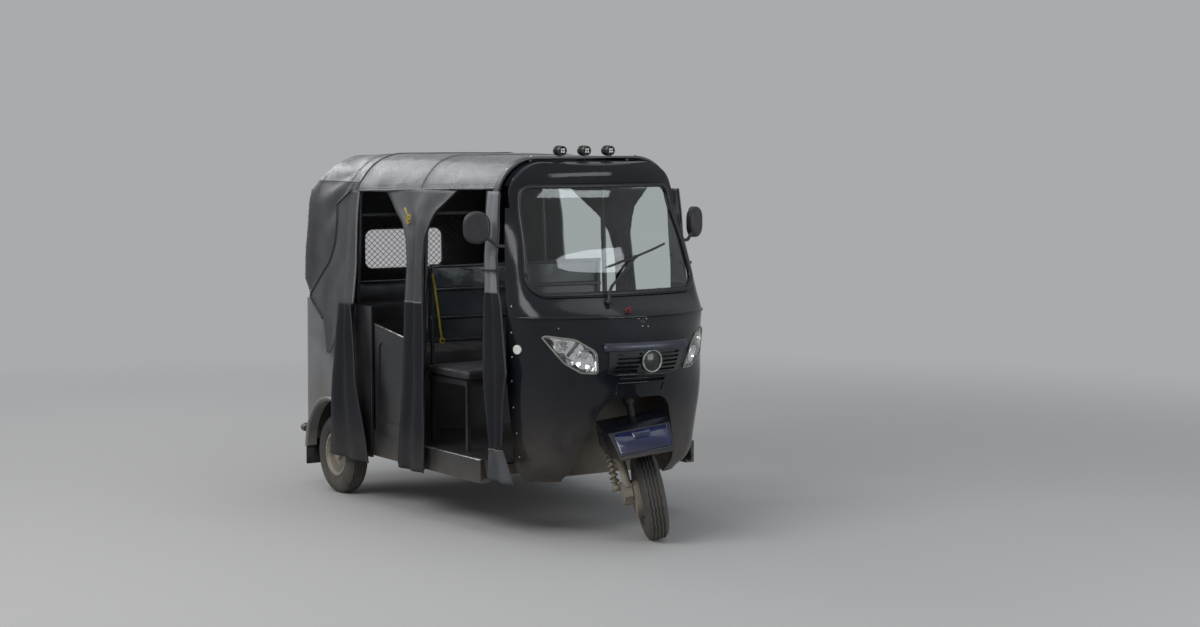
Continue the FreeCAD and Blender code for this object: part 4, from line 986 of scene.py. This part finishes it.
def stud(name, centre, axis, radius, body="chassis", finish="bolt_steel"):
    """Low round head."""
    profile = ((-0.001, radius), (0.001, radius), (0.0024, radius * 0.7), (0.003, tip))
    return disc(name, centre, axis, profile, finish, body, 12)


def windscreen_trim():
    """Rounded rubber bead on the seal, rivets on the roof's clamp hoop and fasteners down the door edges."""
    loop = rounded_loop([(-seal_bottom, seal_low, 0.075), (seal_bottom, seal_low, 0.075),
                         (seal_top, seal_high, 0.055), (-seal_top, seal_high, 0.055)], 10)
    path = []
    for (y0, z0), (y1, z1) in zip(loop, loop[1:] + loop[:1]):
        n = max(1, int(math.hypot(y1 - y0, z1 - z0) / 0.02))
        for k in range(n):
            spot = on_front(y0 + (y1 - y0) * k / n, z0 + (z1 - z0) * k / n, -0.002, ("windscreen_seal",))
            if spot:
                path.append(spot)
    tube("seal_bead", path + path[:1], 0.0095, "seal_rubber", 12)
    low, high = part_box("canopy_clamp")
    hoop = Vector((low[0] + 0.6 * (high[0] - low[0]), 0, 1.45))
    for i, degrees in enumerate((6, 28, 44, 62, 118, 136, 152, 174)):
        way = Vector((0, math.cos(math.radians(degrees)), math.sin(math.radians(degrees))))
        hit = surface(("canopy_clamp",), hoop + way * 2, -way)
        if hit:
            stud(f"clamp_rivet_{i}", hit[0], way, 0.0075)
    for side, sign in sides:
        for i, z in enumerate((1.06, 0.94, 0.83, 0.72, 0.60, 0.48, 0.37)):
            hit = surface(("front_cowl", "windscreen_frame"), (0.70, sign * 0.9, z), (0, -sign, 0))
            if hit:
                stud(f"door_stud_{side}_{i}", hit[0], hit[1], 0.0045)


def wiper():
    """Arm and rubber blade lying on the windscreen, in the place of the plain ones."""
    nodes = ("windscreen_glass", "windscreen_seal", "windscreen_frame", "front_cowl")
    low, high = Vector((0, *wiper_blade[0])), Vector((0, *wiper_blade[1]))
    hold, pivot = low.lerp(high, 0.44), Vector(wiper_pivot)

    def lying(start, end, share, lift):
        at = start.lerp(end, share)
        return on_front(at.y, at.z, lift, nodes)

    blade = [lying(low, high, k / 12, 0.010) for k in range(13)]
    arm = [pivot + ahead * 0.012]
    arm += [lying(pivot, hold, k / 8, 0.024 if k < 8 else 0.017) for k in range(1, 9)]
    spine = [q + ahead * 0.006 for q in blade[2:-2]]
    parts = [tube_mesh(blade, 0.0052, 8), tube_mesh(spine, 0.0042, 8),
             tube_mesh(arm, [0.0075] * 3 + [0.0052] * 6),
             tube_mesh([arm[-1] + ahead * 0.006, arm[-1] - ahead * 0.008], 0.008, 12),
             tube_mesh([pivot - ahead * 0.01, pivot + ahead * 0.022], 0.011, 20)]
    obj = piece("wiper_arm", *merged(parts), "trim_plastic", slot="trim_plastic")
    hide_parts("wiper")


def roof_lamps():
    """Bezel, reflector and four small lamps in each roof light, with its clamp screw."""
    x, z = spot_x, spot_z
    reflector = ((-0.001, 0.0185), (0.0012, 0.018), (0.0014, tip))
    for k, y in enumerate((-spot_spacing, 0.0, spot_spacing)):
        tube(f"spot_bezel_{k}", ring_path((x, y, z), ahead, 0.020, 32), 0.003, "marker_dark", 8)
        disc(f"spot_reflector_{k}", (x, y, z), ahead, reflector, "dial_face")
        for i in range(4):
            a = math.pi / 4 + i * math.pi / 2
            spot = (x + 0.001, y + 0.0085 * math.cos(a), z + 0.0085 * math.sin(a))
            stud(f"spot_lamp_{k}_{i}", spot, ahead, 0.0052, finish="marker_white")
        for i in range(3):
            ring = ring_path((x - 0.040 + 0.010 * i, y, z), ahead, 0.0225, 32)
            tube(f"spot_fin_{k}_{i}", ring, 0.002, "marker_dark", 6)
        stud(f"spot_screw_{k}", (x - 0.027, y - 0.009, z - 0.028), (0, -1, 0), 0.005)


# Steered fittings, built straight ahead and turned with the fork

def mudguard_panel():
    """Raised blank panel on the mudguard's slanted front, with a shallow block at its top and a lip below."""
    x, top = straight_hub.x, 0.5503
    head, foot = Vector((x + 0.100, 0, top - 0.012)), Vector((x + 0.206, 0, top - 0.106))
    reach = (foot - head).length
    down = (foot - head) / reach
    turn = Matrix(((0, 1, 0), -down, (-down.z, 0, down.x))).transposed().to_4x4()
    place = steered @ Matrix.Translation(head) @ turn
    low = 0.012 - reach
    panel = [(-0.116, low, 0.012), (0.115, low, 0.012), (0.122, -0.010, 0.016), (-0.128, -0.010, 0.016)]
    plate("mudguard_panel", rounded_loop(panel), place, 0.0035, "panel_blue", "steering", 0.002)
    raised = [(-0.042, -0.058, 0.012), (0.034, -0.058, 0.012), (0.040, -0.016, 0.008),
              (-0.048, -0.016, 0.008)]
    lift = place @ Matrix.Translation((0, 0, 0.003))
    plate("mudguard_block", rounded_loop(raised), lift, 0.0045, "panel_blue", "steering", 0.002)
    low = 0.006 - reach
    lip = [place @ Vector((a, b, 0.001)) for a, b in ((-0.122, -0.006), (-0.121, -0.09), (-0.119, low),
                                                      (0.119, low), (0.120, -0.09), (0.125, -0.006))]
    tube("mudguard_lip", lip, 0.0028, "bar_grey", 8, "steering")
    for i, a in enumerate((-0.105, 0.105)):
        spot = place @ Vector((a, -0.124, 0.003))
        stud(f"mudguard_stud_{i}", spot, place.to_3x3() @ Vector((0, 0, 1)), 0.0042, "steering", "bar_grey")


def front_spring():
    """Coil spring over its damper, in the place of the plain one."""
    low = Vector((straight_hub.x - 0.084, -0.136, straight_hub.z + 0.044))
    high = Vector((steer_point.x - math.tan(rake) * 0.530 - 0.010, -0.136, 0.5075))
    run = high - low
    side = Vector((0, 1, 0))
    other = run.normalized().cross(side)
    steps, last = 16, 136
    helix = []
    for i in range(last + 1):
        a = 2 * math.pi * i / steps
        centre = low + run * (0.13 + 0.80 * i / last)
        helix.append(centre + (side * math.cos(a) + other * math.sin(a)) * 0.0175)
    eye = [Vector((low.x, y, low.z)) for y in (-0.150, -0.119)]
    parts = [tube_mesh(helix, 0.0040, 8), tube_mesh(eye, 0.015, 20)]
    for start, end, radius, count in ((0, 0.5, 0.0115, 14), (0.5, 0.985, 0.006, 12), (0.10, 0.12, 0.0205, 20),
                                      (0.94, 0.955, 0.0205, 20)):
        parts.append(tube_mesh([low + run * start, low + run * end], radius, count))
    mesh = moved(merged(parts), steered)
    obj = piece("front_spring", *mesh, "suspension_dusty", "steering", slot="suspension_dusty")
    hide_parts("front_damper")
    nut = moved(bolt_mesh(0.011, 0.008), Matrix.Translation(eye[0]) @ Matrix.Scale(-1, 4, (0, 1, 0)))
    piece("front_spring_nut", *moved(nut, steered), "bolt_steel", "steering", smooth=False)


def handlebar_fittings():
    """Rubber grips, levers and switch blocks."""
    radii = [0.0205 if i in (0, 20, 21) else 0.0168 if i % 2 else 0.0155 for i in range(22)]
    reach = ((0.132, 0.018), (0.120, 0.032), (0.07, 0.036), (0.02, 0.040), (0.004, 0.040))
    for side, sign in sides:
        end, bend = Vector((0.53779, sign * 0.27, 1.035)), Vector((0.68779, sign * 0.12, 1.057))
        way = (bend - end).normalized()
        off = Vector((-sign * way.y, sign * way.x, 0)).normalized()
        grip = [end + way * (-0.002 + 0.118 * i / 21) for i in range(22)]
        piece(f"grip_{side}", *moved(tube_mesh(grip, radii, 16), steered), "grip_rubber", "steering")
        place = steered @ wheel_matrix(end + way * 0.138, way)
        block(f"switch_{side}", (-0.019, -0.018, -0.019), (0.019, 0.018, 0.021), "trim_plastic", 0.006,
              "steering", place)
        lever = [end + way * a + off * b - Vector((0, 0, 0.004)) for a, b in reach]
        mesh = tube_mesh(lever, [0.006, 0.005, 0.0045, 0.0045, 0.0065])
        piece(f"lever_{side}", *moved(mesh, steered), "trim_bright", "steering")


# Cabin and rear fittings

def yellow_strap():
    """Strap that hangs from the partition's upper bars to its knot."""
    strap = [(-0.088, -0.489, 1.165), (-0.084, -0.478, 1.10), (-0.086, -0.462, 1.0), (-0.088, -0.448, 0.90),
             (-0.090, -0.437, 0.845)]
    cord = tube("yellow_strap", strap, 0.005, "tie_yellow", 12)
    knot = [(-0.088, -0.437 + 0.012 * math.cos(a), 0.838 + 0.012 * math.sin(a))
            for a in np.linspace(0, 5.8, 12)]
    tied = tube("yellow_knot", knot, 0.004, "tie_yellow", 6)


def cabin():
    """Trim of the guard panel, the sills and the rear arches, mud flaps and the dashboard's dial."""
    line = [(x, -0.602, z) for x, z in ((-0.478, 0.8985), (-0.30, 0.8745), (-0.160, 0.8545))]
    tube("guard_line", line, 0.004, "trim_bright", 8)
    block("guard_seal", (-0.545, -0.5893, 0.370), (-0.472, -0.5845, 0.885), "seal_rubber", 0.001)
    for side, sign in sides:
        side_block(f"sill_strip_{side}", sign, (-0.10, 0.552), (0.578, 0.601), (0.3455, 0.3485),
                   "trim_bright")
        arch = [(rear_axle_x + 0.2745 * math.cos(a), sign * 0.6505, 0.215 + 0.2745 * math.sin(a))
                for a in np.linspace(-0.02, math.pi + 0.02, 60)]
        tube(f"arch_trim_{side}", arch, 0.0085, "arch_grey")
        side_block(f"mud_flap_{side}", sign, (-1.190, -1.184), (0.515, 0.648), (0.115, 0.245),
                   "seal_rubber", 0.002)
    x, y, z = dial
    tube("dial_ring", ring_path(dial, -ahead, 0.026, 40), 0.003, "trim_bright", 8)
    disc("dial", (x + 0.001, y, z), -ahead, ((0.0, 0.0255), (0.002, 0.025), (0.0022, tip)), "dial_face")
    tube("dial_needle", [(x - 0.003, y, z), (x - 0.003, 0.014, 1.043)], 0.0012, "marker_white", 6)
    for i, y in enumerate((-0.085, -0.060, 0.060, 0.085)):
        stud(f"dash_lamp_{i}", (x, y, 1.030), -ahead, 0.006, finish="lamp_red" if i == 1 else "lamp_amber")


def wire_mesh():
    """Two layers of round wire in the screen frame, in the place of the plain sheet."""
    slope = mesh_tall / mesh_wide
    reach = (screen_high - screen_low) / slope
    wires = []
    for layer, sign in ((-0.0011, 1), (0.0011, -1)):
        for k in range(int((2 * screen_half + reach) / mesh_wide) + 2):
            start = -screen_half - reach + k * mesh_wide
            span = max(start, -screen_half), min(start + reach, screen_half)
            if span[1] - span[0] < 0.004:
                continue
            ends = [(screen_x + layer, sign * y, screen_low + (y - start) * slope) for y in span]
            wires.append(tube_mesh(ends, 0.0015, 6))
    obj = piece("screen_wires", *merged(wires), "mesh_dark", slot="mesh_steel")
    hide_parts("wire_screen")


def rear_fittings():
    """Blank plate, lamp bands, screws, and a dark disc at the silencer's outlet, painted shade for the inside
    of its open mouth.
    """
    block("blank_plate", (-1.3015, -0.15, 0.835), (-1.2985, 0.15, 0.925), "plate_blank", 0.001)
    for i, y in enumerate((-0.13, 0.13)):
        stud(f"plate_screw_{i}", (-1.3015, y, 0.88), -ahead, 0.005)
    bands = (((0.886, 0.918), "lamp_amber"), ((0.802, 0.832), "marker_white"))
    for side, sign in sides:
        for k, (zs, finish) in enumerate(bands):
            side_block(f"lamp_band_{side}_{k}", sign, (-1.3236, -1.3206), (0.4585, 0.5165), zs, finish)
        for k, z in enumerate((0.859, 0.846)):
            stud(f"lamp_screw_{side}_{k}", (-1.3222, sign * 0.4875, z), -ahead, 0.003)
        for k, z in enumerate((0.455, 0.700)):
            hit = surface(("rear_panel",), (-ray_start, sign * 0.38, z), ahead)
            if hit:
                stud(f"panel_screw_{side}_{k}", hit[0], hit[1], 0.006)
    # Dark disc over the outlet's end: painted shade of the hollow inside the pipe.
    mouth = ((0.0004, 0.0115), (0.0006, tip))
    disc("exhaust_mouth_shade", outlet_end, outlet_axis, mouth, "seal_rubber")


# Wheels

def tread_profile(shift):
    """Tyre outline from bead to bead: along the axle, radius. shift moves the zigzag grooves."""
    w, r = tyre_half_width, tyre_radius
    side = [(0.0385, bead_radius + 0.001), (0.040, bead_radius + 0.010), (0.045, 0.120), (0.049, 0.124),
            (0.0505, 0.130), (0.052, 0.142), (0.0535, 0.1465), (w, 0.152), (0.0536, 0.158), (0.0525, 0.166),
            (0.0515, 0.170), (0.0500, 0.176), (0.0488, 0.1785), (0.0468, 0.184), (0.041, 0.1915),
            (0.0345, 0.1965)]
    tread = []
    for offset in (0.024, 0.008, -0.008, -0.024):
        o = offset + shift
        tread += [(o + 0.0034, r), (o + 0.0022, r - 0.0055), (o - 0.0022, r - 0.0055), (o - 0.0034, r)]
    return side + tread + [(-a, b) for a, b in reversed(side)]


def tyre_mesh():
    """Tyre with four zigzag grooves."""
    zigzag = (-0.0022, 0.0, 0.0022, 0.0)
    return turned([tread_profile(shift) for shift in zigzag * 27], closed=True)


def bolt_mesh(radius, height):
    """Hexagon bolt head standing on Y."""
    points = []
    for y, r in ((0, 1.0), (0.75, 1.0), (1.0, 0.86)):
        for k in range(6):
            a = math.pi * k / 3
            points.append((radius * r * math.cos(a), y * height, radius * r * math.sin(a)))
    return points, grid_faces(3, 6, wrap=True) + [tuple(range(12, 18))[::-1], tuple(range(6))]


def wheel(name, body, node, centre, axis, outer):
    """Grooved tyre in the place of the plain one, four nuts and the rim's lip on its outer side."""
    place = wheel_matrix(centre, axis)
    obj = piece(name + "_tread", *moved(tyre_mesh(), place), "tyre_rubber", body, slot="tyre_rubber")
    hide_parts(node)
    flip = Matrix.Scale(outer, 4, (0, 1, 0))
    nuts = []
    for a in (0, math.pi / 2, math.pi, 3 * math.pi / 2):
        at = Matrix.Translation((0.05 * math.cos(a), outer * 0.0125, 0.05 * math.sin(a)))
        nuts.append(moved(bolt_mesh(0.010, 0.009), place @ at @ flip))
    piece(name + "_nuts", *merged(nuts), "suspension_dusty", body, smooth=False)
    profile = ((0.0445, 0.1005), (0.0462, 0.1035), (0.0462, 0.1115), (0.0448, 0.1145))
    lip = lathe([(outer * y, r) for y, r in profile], 72)
    piece(name + "_lip", *moved(lip, place), "rim_steel", body)


def wheels():
    wheel("front", "front_wheel", "front_tyre", front_hub, front_spin, 1)
    for side, sign in sides:
        hub = (rear_axle_x, sign * rear_wheel_y, tyre_radius)
        wheel(f"rear_{side}", f"rear_wheel_{side}", f"rear_tyre_{side}", hub, (0, 1, 0), sign)


# Setting

def camera():
    data = bpy.data.cameras.new("camera")
    data.lens = camera_lens
    data.sensor_width = 36
    data.sensor_fit = "HORIZONTAL"
    data.clip_end = 200
    obj = bpy.data.objects.new("camera", data)
    bpy.context.scene.collection.objects.link(obj)
    level = math.cos(camera_pitch)
    look = Vector((level * math.cos(camera_yaw), level * math.sin(camera_yaw), math.sin(camera_pitch)))
    turn = look.to_track_quat("-Z", "Y") @ Matrix.Rotation(camera_roll, 3, "Z").to_quaternion()
    obj.rotation_mode = "QUATERNION"
    obj.rotation_quaternion = turn
    obj.location = camera_place
    bpy.context.scene.camera = obj


def area_light(name, place, target, size, power, colour=(1, 1, 1)):
    data = bpy.data.lights.new(name, "AREA")
    data.shape = "RECTANGLE"
    data.size, data.size_y = size
    data.energy = power
    data.color = colour
    obj = bpy.data.objects.new(name, data)
    obj.location = place
    obj.rotation_mode = "QUATERNION"
    obj.rotation_quaternion = (Vector(target) - Vector(place)).to_track_quat("-Z", "Y")
    bpy.context.scene.collection.objects.link(obj)


def seen_share(tree):
    """1 for the rays that show a surface or the background itself, 0 for those that light the object."""
    rays = tree.nodes.new("ShaderNodeLightPath")
    share = rays.outputs["Is Camera Ray"]
    for key in ("Is Glossy Ray", "Is Transmission Ray"):
        most = tree.nodes.new("ShaderNodeMath")
        most.operation = "MAXIMUM"
        tree.links.new(share, most.inputs[0])
        tree.links.new(rays.outputs[key], most.inputs[1])
        share = most.outputs[0]
    return share


def studio():
    area_light("key", (1.5, -5.5, 5.2), (0, 0, 0.9), (5, 3), 230)
    area_light("fill", (6.8, 2.4, 2.3), (0, 0, 0.8), (4, 3), 150, (0.92, 0.96, 1.0))
    area_light("top", (-0.5, 0.0, 6.0), (0, 0, 1), (5, 4), 45)
    area_light("back", (-6.0, -0.9, 4.3), (0, 0, 1.4), (4, 3), 105)
    world = bpy.data.worlds.new("studio")
    bpy.context.scene.world = world
    world.use_nodes = True
    tree = world.node_tree
    out = next(n for n in tree.nodes if n.type == "OUTPUT_WORLD")
    light = next(n for n in tree.nodes if n.type == "BACKGROUND")
    light.inputs[0].default_value = (0.80, 0.86, 0.95, 1)
    light.inputs[1].default_value = 0.40
    seen = tree.nodes.new("ShaderNodeBackground")
    seen.inputs[0].default_value = (*backdrop, 1)
    mix = tree.nodes.new("ShaderNodeMixShader")
    tree.links.new(seen_share(tree), mix.inputs[0])
    tree.links.new(light.outputs[0], mix.inputs[1])
    tree.links.new(seen.outputs[0], mix.inputs[2])
    tree.links.new(mix.outputs[0], out.inputs[0])
    floor()
    bpy.context.scene.view_settings.view_transform = "Standard"


def floor():
    """Plain ground that fades into the backdrop with distance."""
    ground = Finish("studio_floor", floor_colour, 0.9)
    away = ground.add("VectorMath", {0: ground.place}, operation="LENGTH").outputs["Value"]
    far = ground.math("MULTIPLY", ground.span(away, 2.6, 8.0), seen_share(ground.tree))
    glow = ground.add("Emission", {"Color": (*backdrop, 1), "Strength": 1.0})
    mix = ground.add("MixShader", {0: far, 1: ground.shader.outputs[0], 2: glow.outputs[0]})
    out = next(n for n in ground.tree.nodes if n.type == "OUTPUT_MATERIAL")
    ground.tree.links.new(mix.outputs[0], out.inputs[0])
    ground.done()
    half = 40
    obj = piece("studio_floor", ((-half, -half, 0), (half, -half, 0), (half, half, 0), (-half, half, 0)),
                [(0, 1, 2, 3)], "studio_floor", None, smooth=False)


finishes()
camera()
studio()
dress_cad()
roof_seams(roof_sheet())
rear_sheet()
curtains()
cushions()
headlamps()
nose()
windscreen_trim()
wiper()
roof_lamps()
mudguard_panel()
front_spring()
handlebar_fittings()
yellow_strap()
cabin()
wire_mesh()
rear_fittings()
wheels()
